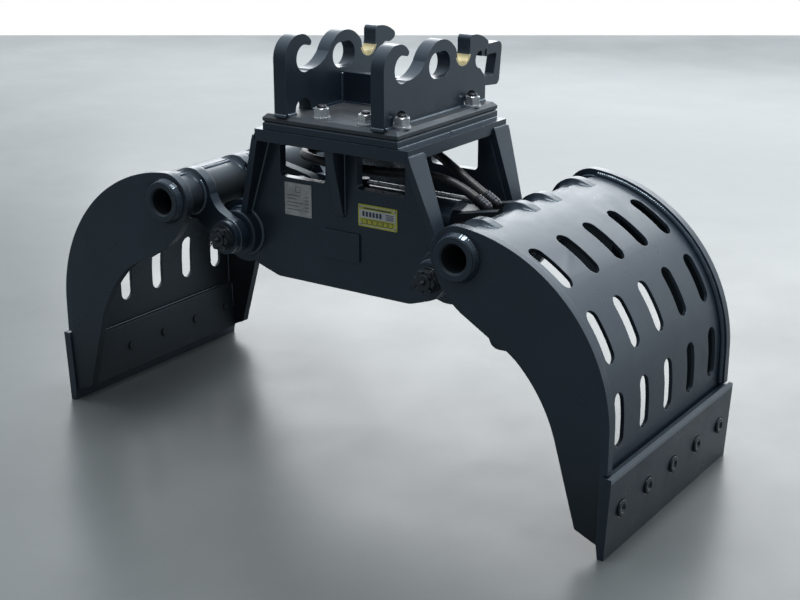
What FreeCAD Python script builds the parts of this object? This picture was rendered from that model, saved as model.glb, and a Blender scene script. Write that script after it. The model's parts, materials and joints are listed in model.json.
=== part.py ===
import FreeCAD, Part
import os
from math import acos, atan2, cos, degrees, hypot, pi, radians, sin, sqrt, tan

os.makedirs("parts", exist_ok=True)
V = FreeCAD.Vector

# Sorting grapple, millimetres. X is the opening direction, Y runs along the jaw width, Z is up.
# The jaws stand wide open on their cutting edges on the floor, z = 0.
# The object is symmetric about x = 0 and, apart from the hitch, about y = 0.

# Main places
PIVOT_X = 274.0
PIVOT_Z = 472.0
TUBE_X = 382.0
TUBE_Z = 556.0
CYL_PIN_X = 250.0
CYL_PIN_Z = 532.0

# Jaw
JAW_WIDTH = 600.0
SIDE_Y = 295.0
SIDE_T = 20.0
ARC_X = 360.0
ARC_Z = 254.0
ARC_R = 366.0
SKIN_INSET = 13.0
SKIN_T = 8.0
SKIN_END_DEG = 84.5
SLOT_W = 38.0
SLOT_ARC_DEG = 18.2
SLOT_PITCH_Y = 112.0
SLOT_COUNT_Y = 5
SLOT_ROWS_DEG = (2.1, 29.7, 56.9)
TUBE_OD = 89.0
TUBE_BORE = 58.0
TUBE_LENGTH = 622.0
TUBE_CHAMFER = 4.0
COLLAR_R = 58.0
EAR_T = 25.0
EAR_HUB_R = 40.0
EAR_SEAT_R = 38.0
EAR_SEAT_T = 16.5
EAR_SKIN_DEG = 68.0
LUG_Y = 46.0
LUG_T = 25.0
LUG_EYE_R = 38.0
LUG_NECK = 40.0

# Outlines of the side plate and the ears in X and Z; a third value is a corner's radius
SIDE_TOE = ((696.0, 32.0), (660.0, 48.0))
SIDE_THROAT = ((613.0, 212.0), (580.0, 293.0), (529.0, 360.0), (498.0, 385.0), (458.0, 404.0))
SIDE_NECK = ((392.0, 443.0), (356.0, 476.0))
SIDE_LOBE_DEG = 213.0
SIDE_CUT = 4.0
EAR_TOP_BEND = (35.0, 58.0, 60.0)
EAR_TOP_ROOT = (-54.0, 12.0)
EAR_CREST = (48.0, 34.0)
EAR_FOOT = (-13.0, -55.0)
EAR_LOBE = ((478.0, 430.0), (466.0, 350.0, 18.0), (418.0, 349.0, 22.0), (396.0, 400.0, 24.0), (368.0, 456.0, 20.0), (314.0, 458.0, 20.0))

# Cutting edge and its carrier
EDGE_HEIGHT = 175.0
EDGE_T = 20.0
EDGE_FOOT_X = 728.4
EDGE_LEAN = 9.2
EDGE_BEVEL_H = 32.0
EDGE_TIP_T = 14.0
CARRIER_TOP = 155.0
CARRIER_FOOT = 30.0
CARRIER_T = 22.0
EDGE_BOLT_Z = 92.4
EDGE_BOLT_PITCH = 120.8
EDGE_BOLT_COUNT = 5
EDGE_BOLT_D = 20.0
EDGE_HEAD_D = 34.0
EDGE_HEAD_SINK = 3.0
EDGE_HEX_AF = 12.0
EDGE_HEX_DEPTH = 6.0
EDGE_BOLT_PROUD = 3.0
EDGE_BOLT_ROOM = 1.0

# Frame
TOP_X = 402.4
TOP_Y = 401.4
TOP_Z = 724.9
TOP_T = 26.0
WEB_Y = 155.0
WEB_T = 20.0
WEB_FOOT_Z = 381.0
WEB_FOOT_X = 178.0
WEB_CORNER_X = 230.5
WEB_CORNER_Z = 398.0
WEB_LOBE_R = 72.0
WINDOW_X0 = 42.0
WINDOW_X1 = 166.0
WINDOW_Z0 = 614.0
WINDOW_TOP_BAR = 9.0
WINDOW_R = 10.0
FLANGE_T = 16.0
FLANGE_X = 209.0
FLANGE_LEAN = 0.327
FLANGE_Y0 = 140.0
FLANGE_Y_FOOT = 176.0
FLANGE_FOOT_Z = 510.0
FLANGE_LAP = 12.0
GUSSET_T = 20.0
GUSSET_FOOT_Z = 548.0
BOSS_R = 53.0
BOSS_Y0 = 105.0
BOSS_Y1 = 186.0
PIN_D = 50.0
BUSH_WALL = 6.0
BUSH_COLLAR_R = 36.0
BUSH_COLLAR_T = 1.5
PIN_CLEARANCE = 0.05
THRUST_GAP = 0.5

# Pivot pin ends
PIN_THREAD_D = 33.0
PIN_WASHER_D = 58.0
PIN_WASHER_T = 4.0
PIN_NUT_AF = 46.0
PIN_NUT_T = 16.0
PIN_CASTLE_W = 6.0
PIN_CASTLE_D = 5.0
NIPPLE_D = 8.0
NIPPLE_L = 9.0

# Hitch
ADAPTER_X = 352.8
ADAPTER_Y = 398.0
ADAPTER_T = 17.5
HITCH_T = 17.9
HITCH_BEVEL = 8.0
SEAM_BEVEL = 3.0
HANGER_X = 142.9
HANGER_T = 32.5
PIN_HEIGHT = 122.7
HUMP_HOLE_Y = 10.5
HUMP_HOLE_DROP = 17.0
HUMP_HOLE_L = 82.0
HUMP_HOLE_H = 56.0
HOOK_Y = -115.0
SEAT_Y = 106.0
SEAT_R = 27.0
SEAT_LIP = 20.0
SEAT_LINER_T = 6.0
SEAT_LINER_DROP = 11.0

# Outline of a hanger in Y and Z from the hook's, the hump's and the seat's centres, as ends and middles of arcs
HOOK_ARCS = ((-83.4, -5.0), (-69.0, 31.0), (-31.0, 45.5), (-7.0, 41.0), (8.0, 28.0), (7.0, 21.0), (-1.0, 19.0), (-44.0, -3.0),
             (0.0, -32.5), (43.0, -24.0))
HUMP_ARCS = ((-55.5, -3.0), (-0.5, 35.5), (55.5, 18.0))
SEAT_SHOULDER = (-31.0, 9.0)
HORN_ARCS = ((31.0, 28.0), (41.0, 30.0), (76.0, 24.0), (100.0, 12.0), (106.0, 3.0), (99.0, -6.0), (90.0, -10.0), (78.0, -11.0),
             (51.0, -27.0), (70.0, -47.0))
HEEL_ARC = ((87.0, -64.0), (93.4, -77.0), (94.4, -89.0))
CROSS_Y = 3.0
CROSS_T = 20.0
CROSS_TOP = 828.6
ARCH_R = 27.0
ARCH_H = 31.5
ARCH_SHIFT = 13.0
STUD_D = 20.0
STUD_PROUD = 6.0
STUD_DEPTH = 30.0
NUT_AF = 30.0
NUT_T = 19.0
WASHER_D = 37.0
WASHER_T = 4.0
STUD_OUTER_X = 157.0
STUD_OUTER_Y = (-152.0, 124.0)
STUD_INNER_X = (-39.0, 76.0)
STUD_INNER_Y = (-168.0, 150.0)
HANDLE_BAR = 24.0
HANDLE_REACH = 267.0
HANDLE_REACH_LOW = 255.0
HANDLE_HIGH = 872.0
HANDLE_LOW = 798.0
HANDLE_ROOT_HIGH = 190.0
HANDLE_ROOT_LOW = 178.4
HANDLE_RISE = 8.0
HANDLE_CORNER = 14.0
HANDLE_INNER = 5.0

# Plates on the front web
DATA_PLATE = (-154.0, -80.0, 530.0, 604.0)
INFO_PLATE = (46.0, 147.0, 535.0, 584.0)
BLANK_PLATE = (-50.0, 49.0, 450.0, 514.0)
PLATE_T = 2.0
BLANK_PLATE_T = 4.0
RIVET_D = 5.0
RIVET_INSET = 6.0

# Cylinder
BARREL_OD = 95.0
BARREL_BORE = 75.0
BARREL_X1 = 206.0
BARREL_X0 = -72.0
BASE_T = 26.0
GLAND_OD = 104.0
GLAND_L = 40.0
ROD_D = 45.0
PISTON_L = 36.0
PISTON_GAP = 8.0
EYE_W = 60.0
EYE_R = 34.0
CYL_PIN_D = 35.0
CYL_PIN_END = 7.0
ROD_EYE_X = -206.0

# Hoses, the block they leave from and the ports on the cylinder
BLOCK_X = 66.0
BLOCK_Y = 44.0
BLOCK_Z0 = 636.0
BLOCK_PORT_Y = 22.0
BLOCK_PORT_Z = (676.0, 650.0)
FITTING_AF = 27.0
FITTING_L = 12.0
HOSE_D = 21.0
FERRULE_D = 25.0
FERRULE_L = 26.0
ELBOW_D = 22.0
HOSE_END_X = 263.6
HOSE_END_Y = 18.5
HOSE_END_Z = 591.5
HOSE_END_DEG = 30.0
MANIFOLD = (256.0, 300.0, 29.0, 540.0, 566.0)
TUBE_LINE_D = 10.0
TUBE_LINE_Z = 586.0
TUBE_LINE_X = 270.0
TUBE_LINE_BEND = 14.0
GLAND_PORT_X = -50.0
GLAND_PORT_D = 24.0
GLAND_PORT_TOP = 594.0
HOSE_EXTEND = (
    (-176.0, -22.0, 676.0),
    (-176.0, 96.0, 674.0),
    (50.0, 96.0, 664.0),
    (140.0, 36.0, 656.0),
)
HOSE_RETRACT = (
    (-176.0, 22.0, 650.0),
    (-176.0, -96.0, 648.0),
    (30.0, -96.0, 640.0),
    (120.0, -36.0, 634.0),
)

# Worked-out sizes
EAR_Y0 = BOSS_Y1 + BUSH_COLLAR_T + THRUST_GAP
EAR_Y1 = EAR_Y0 + EAR_T
EAR_FACE = EAR_Y1 + EAR_SEAT_T
SIDE_Y0 = SIDE_Y - SIDE_T
SKIN_R1 = ARC_R - SKIN_INSET
SKIN_R0 = SKIN_R1 - SKIN_T
TOP_FOOT = TOP_Z - TOP_T
ADAPTER_Z = TOP_Z + ADAPTER_T
HITCH_Z = ADAPTER_Z + HITCH_T
HANGER_X0 = HANGER_X - HANGER_T
PIN_Z = HITCH_Z + PIN_HEIGHT
EDGE_SLOPE = EDGE_LEAN / EDGE_HEIGHT
EDGE_DEG = degrees(atan2(EDGE_LEAN, EDGE_HEIGHT))
BUSH_R = PIN_D / 2 + BUSH_WALL


def write(name, shape):
    """Write one sub-part as a STEP file."""
    shape.exportStep("parts/%s.step" % name)
    solids = shape.Solids
    print("%-24s solids %2d  valid %s  volume %.0f" % (name, len(solids), shape.isValid(), shape.Volume))


def group(shapes):
    return Part.makeCompound([s for shape in shapes for s in shape.Solids])


def box(x0, x1, y0, y1, z0, z1):
    return Part.makeBox(x1 - x0, y1 - y0, z1 - z0, V(x0, y0, z0))


def cyl_y(x, z, radius, y0, y1):
    return Part.makeCylinder(radius, y1 - y0, V(x, y0, z), V(0, 1, 0))


def cyl_x(y, z, radius, x0, x1):
    return Part.makeCylinder(radius, x1 - x0, V(x0, y, z), V(1, 0, 0))


def cyl_z(x, y, radius, z0, z1):
    return Part.makeCylinder(radius, z1 - z0, V(x, y, z0), V(0, 0, 1))


def flip_x(shape):
    return shape.mirror(V(0, 0, 0), V(1, 0, 0))


def flip_y(shape):
    return shape.mirror(V(0, 0, 0), V(0, 1, 0))


def corner_arc(before, corner, after, radius):
    """Points where a corner's fillet starts and ends, and its middle."""
    a = (before - corner).normalize()
    b = (after - corner).normalize()
    half = acos(max(-1.0, min(1.0, a.dot(b)))) / 2
    reach = radius / tan(half)
    centre = corner + (a + b).normalize() * (radius / sin(half))
    middle = centre + (corner - centre).normalize() * radius
    return corner + a * reach, middle, corner + b * reach


def rounded_wire(corners, place):
    """A closed outline of (u, v) or (u, v, radius) corners; place turns (u, v) into a point."""
    points = [place(c[0], c[1]) for c in corners]
    radii = [c[2] if len(c) > 2 else 0 for c in corners]
    count = len(points)
    stops = []
    edges = []
    for i in range(count):
        if radii[i]:
            start, middle, end = corner_arc(points[i - 1], points[i], points[(i + 1) % count], radii[i])
            edges.append((i, Part.Arc(start, middle, end).toShape()))
            stops.append((start, end))
        else:
            stops.append((points[i], points[i]))
    wire = []
    arcs = dict(edges)
    for i in range(count):
        if i in arcs:
            wire.append(arcs[i])
        start, end = stops[i][1], stops[(i + 1) % count][0]
        if (end - start).Length > 1e-6:
            wire.append(Part.LineSegment(start, end).toShape())
    return Part.Wire(Part.__sortEdges__(wire))


def plate_xz(corners, y0, y1):
    """A flat plate with its outline in X and Z, from y0 to y1."""
    wire = rounded_wire(corners, lambda u, v: V(u, y0, v))
    return Part.Face(wire).extrude(V(0, y1 - y0, 0))


def plate_yz(corners, x0, x1):
    wire = rounded_wire(corners, lambda u, v: V(x0, u, v))
    return Part.Face(wire).extrude(V(x1 - x0, 0, 0))


def plate_xy(corners, z0, z1):
    wire = rounded_wire(corners, lambda u, v: V(u, v, z0))
    return Part.Face(wire).extrude(V(0, 0, z1 - z0))


def rectangle(u0, u1, v0, v1, radius=0):
    corners = ((u0, v0), (u1, v0), (u1, v1), (u0, v1))
    return [c + (radius,) for c in corners] if radius else list(corners)


def hexagon(across, z0, z1, x, y):
    """An upright hexagonal prism."""
    corner = across / sqrt(3)
    points = [V(x + corner * cos(k * pi / 3), y + corner * sin(k * pi / 3), z0) for k in range(6)]
    return Part.Face(Part.makePolygon(points + points[:1])).extrude(V(0, 0, z1 - z0))


def clean(shape):
    return shape.removeSplitter()


def arc_point(deg, radius):
    return ARC_X + radius * cos(radians(deg)), ARC_Z + radius * sin(radians(deg))


# Jaw pieces, all modelled for the right jaw

def edge_face(z, inward=0.0):
    """X of the cutting edge's outer face at height z, moved inward by a distance."""
    return EDGE_FOOT_X + EDGE_SLOPE * z - inward


def lobe_radius():
    """The end of a side plate rounds the tube and joins the outer arc smoothly."""
    return ARC_R - hypot(TUBE_X - ARC_X, TUBE_Z - ARC_Z)


def side_plate():
    """The curved side plate nearest the viewer, seen in X and Z."""
    y = -SIDE_Y
    reach = lobe_radius()
    join_deg = degrees(atan2(TUBE_Z - ARC_Z, TUBE_X - ARC_X))
    leave_deg = SIDE_LOBE_DEG
    notch_z = EDGE_HEIGHT + SIDE_CUT
    foot_z = CARRIER_FOOT - 3

    def on_arc(deg):
        x, z = arc_point(deg, ARC_R)
        return V(x, y, z)

    def on_lobe(deg):
        return V(TUBE_X + reach * cos(radians(deg)), y, TUBE_Z + reach * sin(radians(deg)))

    outer = Part.Arc(on_arc(join_deg), on_arc(join_deg / 2), on_arc(0)).toShape()
    lobe = Part.Arc(on_lobe(leave_deg), on_lobe((leave_deg + join_deg) / 2), on_lobe(join_deg)).toShape()
    path = [
        on_arc(0),
        V(ARC_X + ARC_R, y, notch_z),
        V(edge_face(notch_z, EDGE_T), y, notch_z),
        V(edge_face(foot_z, EDGE_T), y, foot_z),
    ]
    path.extend(V(u, y, v) for u, v in SIDE_TOE)
    inner = [V(u, y, v) for u, v in SIDE_THROAT + SIDE_NECK]
    path.append(inner[0])
    lines = [Part.LineSegment(a, b).toShape() for a, b in zip(path, path[1:])]
    bend = Part.Arc(inner[0], inner[1], inner[2]).toShape()
    throat = Part.Arc(inner[2], inner[3], inner[4]).toShape()
    cheek = Part.LineSegment(inner[4], inner[5]).toShape()
    neck = Part.Arc(inner[5], inner[6], on_lobe(leave_deg)).toShape()
    wire = Part.Wire(Part.__sortEdges__([outer] + lines + [bend, throat, cheek, neck, lobe]))
    plate = Part.Face(wire).extrude(V(0, SIDE_T, 0))
    return plate.cut(cyl_y(TUBE_X, TUBE_Z, TUBE_OD / 2, y - 1, y + SIDE_T + 1))


def skin_blank():
    """The curved back sheet: an arc over the tube and a straight foot down to the carrier."""
    span = SIDE_Y0

    def ring(radius):
        return Part.makeCylinder(radius, 2 * span, V(ARC_X, -span, ARC_Z), V(0, -1, 0).negative())

    shell = ring(SKIN_R1).cut(ring(SKIN_R0))
    end = radians(SKIN_END_DEG)
    far = 2 * ARC_R
    keep = [
        V(ARC_X, -span, ARC_Z),
        V(ARC_X + far, -span, ARC_Z),
        V(ARC_X + far, -span, ARC_Z + far),
        V(ARC_X + far * cos(end), -span, ARC_Z + far * sin(end)),
    ]
    wedge = Part.Face(Part.makePolygon(keep + keep[:1])).extrude(V(0, 2 * span, 0))
    curved = shell.common(wedge)
    foot = box(ARC_X + SKIN_R0, ARC_X + SKIN_R1, -span, span, CARRIER_TOP, ARC_Z)
    return clean(curved.fuse(foot))


def slot(row_deg, y):
    """A rounded slot through the back sheet, long along the arc."""
    reach = ARC_R + 30
    half = radians(SLOT_ARC_DEG) / 2 - SLOT_W / 2 / SKIN_R1
    middle = radians(row_deg)
    low, high = middle - half, middle + half
    ends = []
    for angle in (low, high):
        direction = V(cos(angle), 0, sin(angle))
        start = V(ARC_X, y, ARC_Z) + direction * (SKIN_R0 - 60)
        ends.append(Part.makeCylinder(SLOT_W / 2, reach - SKIN_R0 + 60, start, direction))
    inner, outer = SKIN_R0 - 60, reach
    corners = []
    for radius, angle in ((inner, low), (outer / cos(half), middle), (inner, high)):
        corners.append(V(ARC_X + radius * cos(angle), y - SLOT_W / 2, ARC_Z + radius * sin(angle)))
    corners.insert(1, V(ARC_X + outer * cos(low), y - SLOT_W / 2, ARC_Z + outer * sin(low)))
    corners.insert(3, V(ARC_X + outer * cos(high), y - SLOT_W / 2, ARC_Z + outer * sin(high)))
    bar = Part.Face(Part.makePolygon(corners + corners[:1])).extrude(V(0, SLOT_W, 0))
    return bar.fuse(ends)


def tube():
    """The cross tube; its bore opens in a chamfer at both ends."""
    half = TUBE_LENGTH / 2
    body = cyl_y(TUBE_X, TUBE_Z, TUBE_OD / 2, -half, half)
    body = body.cut(cyl_y(TUBE_X, TUBE_Z, TUBE_BORE / 2, -TUBE_LENGTH, TUBE_LENGTH))
    mouth = TUBE_BORE / 2 + TUBE_CHAMFER
    for side in (-1, 1):
        axis = V(0, -side, 0)
        body = body.cut(Part.makeCone(mouth, TUBE_BORE / 2, TUBE_CHAMFER, V(TUBE_X, side * half, TUBE_Z), axis))
    return body


def ear(lobed):
    """The pivot ear nearest the viewer: hub with a raised seat for the washer, arm, and collar round the tube.

    lobed adds the lobe below the collar."""
    y0, y1 = -EAR_Y1, -EAR_Y0
    skin_x, skin_z = arc_point(EAR_SKIN_DEG, SKIN_R0)
    lean = atan2(TUBE_Z - PIVOT_Z, TUBE_X - PIVOT_X)
    inside = 0.98 * EAR_HUB_R
    corners = [
        (PIVOT_X - inside * sin(lean), PIVOT_Z + inside * cos(lean)),
        (PIVOT_X + EAR_TOP_BEND[0], PIVOT_Z + EAR_TOP_BEND[1], EAR_TOP_BEND[2]),
        (TUBE_X + EAR_TOP_ROOT[0], TUBE_Z + EAR_TOP_ROOT[1]),
        (TUBE_X, TUBE_Z),
        (TUBE_X + EAR_CREST[0], TUBE_Z + EAR_CREST[1]),
        (skin_x, skin_z),
    ]
    if lobed:
        corners.extend(EAR_LOBE)
    else:
        corners.append((TUBE_X + EAR_FOOT[0], TUBE_Z + EAR_FOOT[1]))
    corners.append((PIVOT_X + inside * sin(lean), PIVOT_Z - inside * cos(lean)))
    arm = plate_xz(corners, y0, y1)
    collar = cyl_y(TUBE_X, TUBE_Z, COLLAR_R, y0, y1)
    hub = cyl_y(PIVOT_X, PIVOT_Z, EAR_HUB_R, y0, y1)
    seat = cyl_y(PIVOT_X, PIVOT_Z, EAR_SEAT_R, -EAR_FACE, y1)
    plate = clean(arm.fuse([collar, hub, seat]))
    plate = plate.cut(cyl_y(TUBE_X, TUBE_Z, TUBE_OD / 2, y0 - 1, y1 + 1))
    return plate.cut(cyl_y(PIVOT_X, PIVOT_Z, PIN_D / 2, -EAR_FACE - 1, y1 + 1))


def lug():
    """A cylinder lug: a collar round the tube and an eye that carries the cylinder pin."""
    y0, y1 = -LUG_Y - LUG_T / 2, -LUG_Y + LUG_T / 2
    across = V(TUBE_X - CYL_PIN_X, 0, TUBE_Z - CYL_PIN_Z)
    length = across.Length
    lean = degrees(atan2(across.z, across.x))
    arm = plate_xz(
        [(0, -LUG_EYE_R), (length, -LUG_NECK), (length, LUG_NECK), (0, LUG_EYE_R)],
        y0,
        y1,
    )
    arm.rotate(V(0, 0, 0), V(0, 1, 0), -lean)
    arm.translate(V(CYL_PIN_X, 0, CYL_PIN_Z))
    collar = cyl_y(TUBE_X, TUBE_Z, COLLAR_R, y0, y1)
    eye = cyl_y(CYL_PIN_X, CYL_PIN_Z, LUG_EYE_R, y0, y1)
    plate = clean(arm.fuse([collar, eye]))
    plate = plate.cut(cyl_y(TUBE_X, TUBE_Z, TUBE_OD / 2, y0 - 1, y1 + 1))
    return plate.cut(cyl_y(CYL_PIN_X, CYL_PIN_Z, CYL_PIN_D / 2, y0 - 1, y1 + 1))


def edge_bolt_places():
    first = -EDGE_BOLT_PITCH * (EDGE_BOLT_COUNT - 1) / 2
    return [first + EDGE_BOLT_PITCH * k for k in range(EDGE_BOLT_COUNT)]


def edge_axis():
    """Outer end and inward direction of a cutting edge bolt."""
    lean = radians(EDGE_DEG)
    return V(edge_face(EDGE_BOLT_Z), 0, EDGE_BOLT_Z), V(-cos(lean), 0, sin(lean))


def bolt_rooms():
    """Room for the cutting edge's bolts, cut from a side plate wherever a bolt comes that near to it."""
    start, inward = edge_axis()
    radius = EDGE_HEAD_D / 2 + EDGE_HEAD_SINK + EDGE_BOLT_ROOM
    return [Part.makeCylinder(radius, 3 * EDGE_T + CARRIER_T, V(start.x, y, start.z) - inward * EDGE_T, inward)
            for y in edge_bolt_places()]


def cutting_edge():
    half = JAW_WIDTH / 2
    blank = plate_xz(
        [
            (edge_face(0), 0),
            (edge_face(EDGE_HEIGHT), EDGE_HEIGHT, 2),
            (edge_face(EDGE_HEIGHT, EDGE_T), EDGE_HEIGHT, 2),
            (edge_face(EDGE_BEVEL_H, EDGE_T), EDGE_BEVEL_H),
            (edge_face(0, EDGE_TIP_T), 0),
        ],
        -half,
        half,
    )
    start, inward = edge_axis()
    head_r = EDGE_HEAD_D / 2
    shank_r = EDGE_BOLT_D / 2
    for y in edge_bolt_places():
        at = V(start.x, y, start.z)
        blank = blank.cut(Part.makeCylinder(shank_r, EDGE_T * 2, at - inward * 5, inward))
        blank = blank.cut(Part.makeCone(head_r + EDGE_HEAD_SINK, shank_r, head_r - shank_r + EDGE_HEAD_SINK, at, inward))
    return blank


def edge_bolts():
    """Countersunk bolts with a hexagon socket, their ends just through the carrier."""
    start, inward = edge_axis()
    head_r = EDGE_HEAD_D / 2
    shank_r = EDGE_BOLT_D / 2
    cone_h = head_r - shank_r
    length = EDGE_T + CARRIER_T + EDGE_BOLT_PROUD
    bolts = []
    for y in edge_bolt_places():
        at = V(start.x, y, start.z) + inward * EDGE_HEAD_SINK
        head = Part.makeCone(head_r, shank_r, cone_h, at, inward)
        shank = Part.makeCylinder(shank_r, length - EDGE_HEAD_SINK, at, inward)
        socket = hexagon(EDGE_HEX_AF, 0, EDGE_HEX_DEPTH + 1, 0, 0)
        socket.rotate(V(0, 0, 0), V(0, 1, 0), -90 + EDGE_DEG)
        socket.translate(at - inward)
        bolts.append(clean(head.fuse(shank)).cut(socket))
    return group(bolts)


def blade_carrier():
    start, inward = edge_axis()
    half = SIDE_Y0
    blank = plate_xz(
        [
            (edge_face(CARRIER_FOOT, EDGE_T), CARRIER_FOOT),
            (edge_face(CARRIER_TOP, EDGE_T), CARRIER_TOP),
            (edge_face(CARRIER_TOP, EDGE_T + CARRIER_T), CARRIER_TOP, 3),
            (edge_face(CARRIER_FOOT, EDGE_T + CARRIER_T), CARRIER_FOOT, 3),
        ],
        -half,
        half,
    )
    for y in edge_bolt_places():
        at = V(start.x, y, start.z)
        blank = blank.cut(Part.makeCylinder(EDGE_BOLT_D / 2, EDGE_T + CARRIER_T + 10, at, inward))
    return blank


def pivot_pin():
    """The pin nearest the viewer: fixed in its ear, with a threaded end for the castle nut."""
    body = cyl_y(PIVOT_X, PIVOT_Z, PIN_D / 2, -EAR_FACE, -BOSS_Y0)
    length = PIN_WASHER_T + PIN_NUT_T + 2
    thread = cyl_y(PIVOT_X, PIVOT_Z, PIN_THREAD_D / 2, -EAR_FACE - length, -EAR_FACE)
    nipple = cyl_y(PIVOT_X, PIVOT_Z, NIPPLE_D / 2, -EAR_FACE - length - NIPPLE_L, -EAR_FACE - length)
    return clean(body.fuse([thread, nipple]))


def pin_nut():
    """Washer and castle nut on the end of a pivot pin, one solid each."""
    y1 = -EAR_FACE
    washer = cyl_y(PIVOT_X, PIVOT_Z, PIN_WASHER_D / 2, y1 - PIN_WASHER_T, y1)
    face = y1 - PIN_WASHER_T
    nut = hexagon(PIN_NUT_AF, 0, PIN_NUT_T, 0, 0)
    for k in range(3):
        cut = box(-PIN_NUT_AF, PIN_NUT_AF, -PIN_CASTLE_W / 2, PIN_CASTLE_W / 2, PIN_NUT_T - PIN_CASTLE_D, PIN_NUT_T)
        cut.rotate(V(0, 0, 0), V(0, 0, 1), 30 + 60 * k)
        nut = nut.cut(cut)
    nut.rotate(V(0, 0, 0), V(1, 0, 0), 90)
    nut.translate(V(PIVOT_X, face, PIVOT_Z))
    hole = cyl_y(PIVOT_X, PIVOT_Z, PIN_THREAD_D / 2, y1 - 60, y1 + 1)
    return group([washer.cut(hole), nut.cut(hole)])


def cylinder_pin():
    half = LUG_Y + LUG_T / 2 + CYL_PIN_END
    pin = cyl_y(CYL_PIN_X, CYL_PIN_Z, CYL_PIN_D / 2, -half, half)
    return pin


def jaw_pieces(lobed):
    """Every piece of one jaw, made as the right one, by the second half of its node name."""
    side = side_plate().cut(bolt_rooms())
    ear_front = ear(lobed)
    lug_front = lug()
    skin = skin_blank()
    for row in SLOT_ROWS_DEG:
        for k in range(SLOT_COUNT_Y):
            skin = skin.cut(slot(row, (k - (SLOT_COUNT_Y - 1) / 2) * SLOT_PITCH_Y))
    shaft = cyl_y(TUBE_X, TUBE_Z, TUBE_OD / 2, -SIDE_Y, SIDE_Y)
    fillers = [shaft]
    for plate in (ear_front, lug_front):
        fillers.extend([plate, flip_y(plate)])
    for filler in fillers:
        skin = skin.cut(filler)
    return {
        "side_plate_front": side,
        "side_plate_rear": flip_y(side),
        "back_sheet": skin,
        "tube": tube(),
        "ear_front": ear_front,
        "ear_rear": flip_y(ear_front),
        "lug_front": lug_front,
        "lug_rear": flip_y(lug_front),
        "blade_carrier": blade_carrier(),
        "cutting_edge": cutting_edge(),
        "edge_bolts": edge_bolts(),
        "pivot_pins": group([pivot_pin(), flip_y(pivot_pin())]),
        "pin_nuts": group([pin_nut(), flip_y(pin_nut())]),
    }


# Frame pieces

def stud_places():
    outer = [(side * STUD_OUTER_X, y) for side in (-1, 1) for y in STUD_OUTER_Y]
    inner = [(x, y) for x in STUD_INNER_X for y in STUD_INNER_Y]
    return outer + inner


def stud_holes(z0, z1):
    return [cyl_z(x, y, STUD_D / 2, z0, z1) for x, y in stud_places()]


def top_plate():
    plate = plate_xy(rectangle(-TOP_X / 2, TOP_X / 2, -TOP_Y / 2, TOP_Y / 2, 5), TOP_FOOT, TOP_Z)
    for hole in stud_holes(ADAPTER_Z - STUD_DEPTH, TOP_Z + 1):
        plate = plate.cut(hole)
    return plate


def bevelled_plate(z0, z1, bevel_foot, bevel_top):
    """The hitch's two stacked plates share an outline and have bevelled long edges."""
    hx, hy = ADAPTER_X / 2, ADAPTER_Y / 2

    def section(half):
        return [
            (-half + bevel_foot, z0),
            (half - bevel_foot, z0),
            (half, z0 + bevel_foot),
            (half, z1 - bevel_top),
            (half - bevel_top, z1),
            (-half + bevel_top, z1),
            (-half, z1 - bevel_top),
            (-half, z0 + bevel_foot),
        ]

    return plate_xz(section(hx), -hy, hy).common(plate_yz(section(hy), -hx, hx))


def adapter_plate():
    plate = bevelled_plate(TOP_Z, ADAPTER_Z, SEAM_BEVEL / 2, SEAM_BEVEL)
    for hole in stud_holes(TOP_Z - 1, ADAPTER_Z + 1):
        plate = plate.cut(hole)
    return plate


def hitch_plate():
    plate = bevelled_plate(ADAPTER_Z, HITCH_Z, SEAM_BEVEL, HITCH_BEVEL)
    for hole in stud_holes(ADAPTER_Z - 1, HITCH_Z + 1):
        plate = plate.cut(hole)
    return plate


def flange_outer(z):
    """X of a corner flange's outer face at height z."""
    return FLANGE_X + FLANGE_LEAN * (TOP_FOOT - z)


def boss_hole(x, y0, y1):
    return cyl_y(x, PIVOT_Z, BOSS_R, y0, y1)


def web():
    """The front web: a plate with two windows, a lobe at each pivot and a flat foot."""
    y0, y1 = -WEB_Y, -WEB_Y + WEB_T
    head_x = flange_outer(TOP_FOOT) - FLANGE_T
    knee_z = PIVOT_Z + BOSS_R
    knee_x = flange_outer(knee_z) - FLANGE_T
    half = [
        (head_x, TOP_FOOT),
        (knee_x, knee_z),
        (PIVOT_X, PIVOT_Z),
        (WEB_CORNER_X + 30, PIVOT_Z - 60),
        (WEB_CORNER_X, WEB_CORNER_Z, 20),
        (WEB_FOOT_X, WEB_FOOT_Z, 40),
    ]
    other = [(-c[0],) + c[1:] for c in reversed(half)]
    plate = plate_xz(half + other, y0, y1)
    lobes = [cyl_y(side * PIVOT_X, PIVOT_Z, WEB_LOBE_R, y0, y1) for side in (-1, 1)]
    plate = clean(plate.fuse(lobes))
    top = TOP_FOOT - WINDOW_TOP_BAR
    for side in (-1, 1):
        x0, x1 = sorted((side * WINDOW_X0, side * WINDOW_X1))
        plate = plate.cut(plate_xz(rectangle(x0, x1, WINDOW_Z0, top, WINDOW_R), y0 - 1, y1 + 1))
        plate = plate.cut(boss_hole(side * PIVOT_X, y0 - 1, y1 + 1))
    return plate


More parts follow.
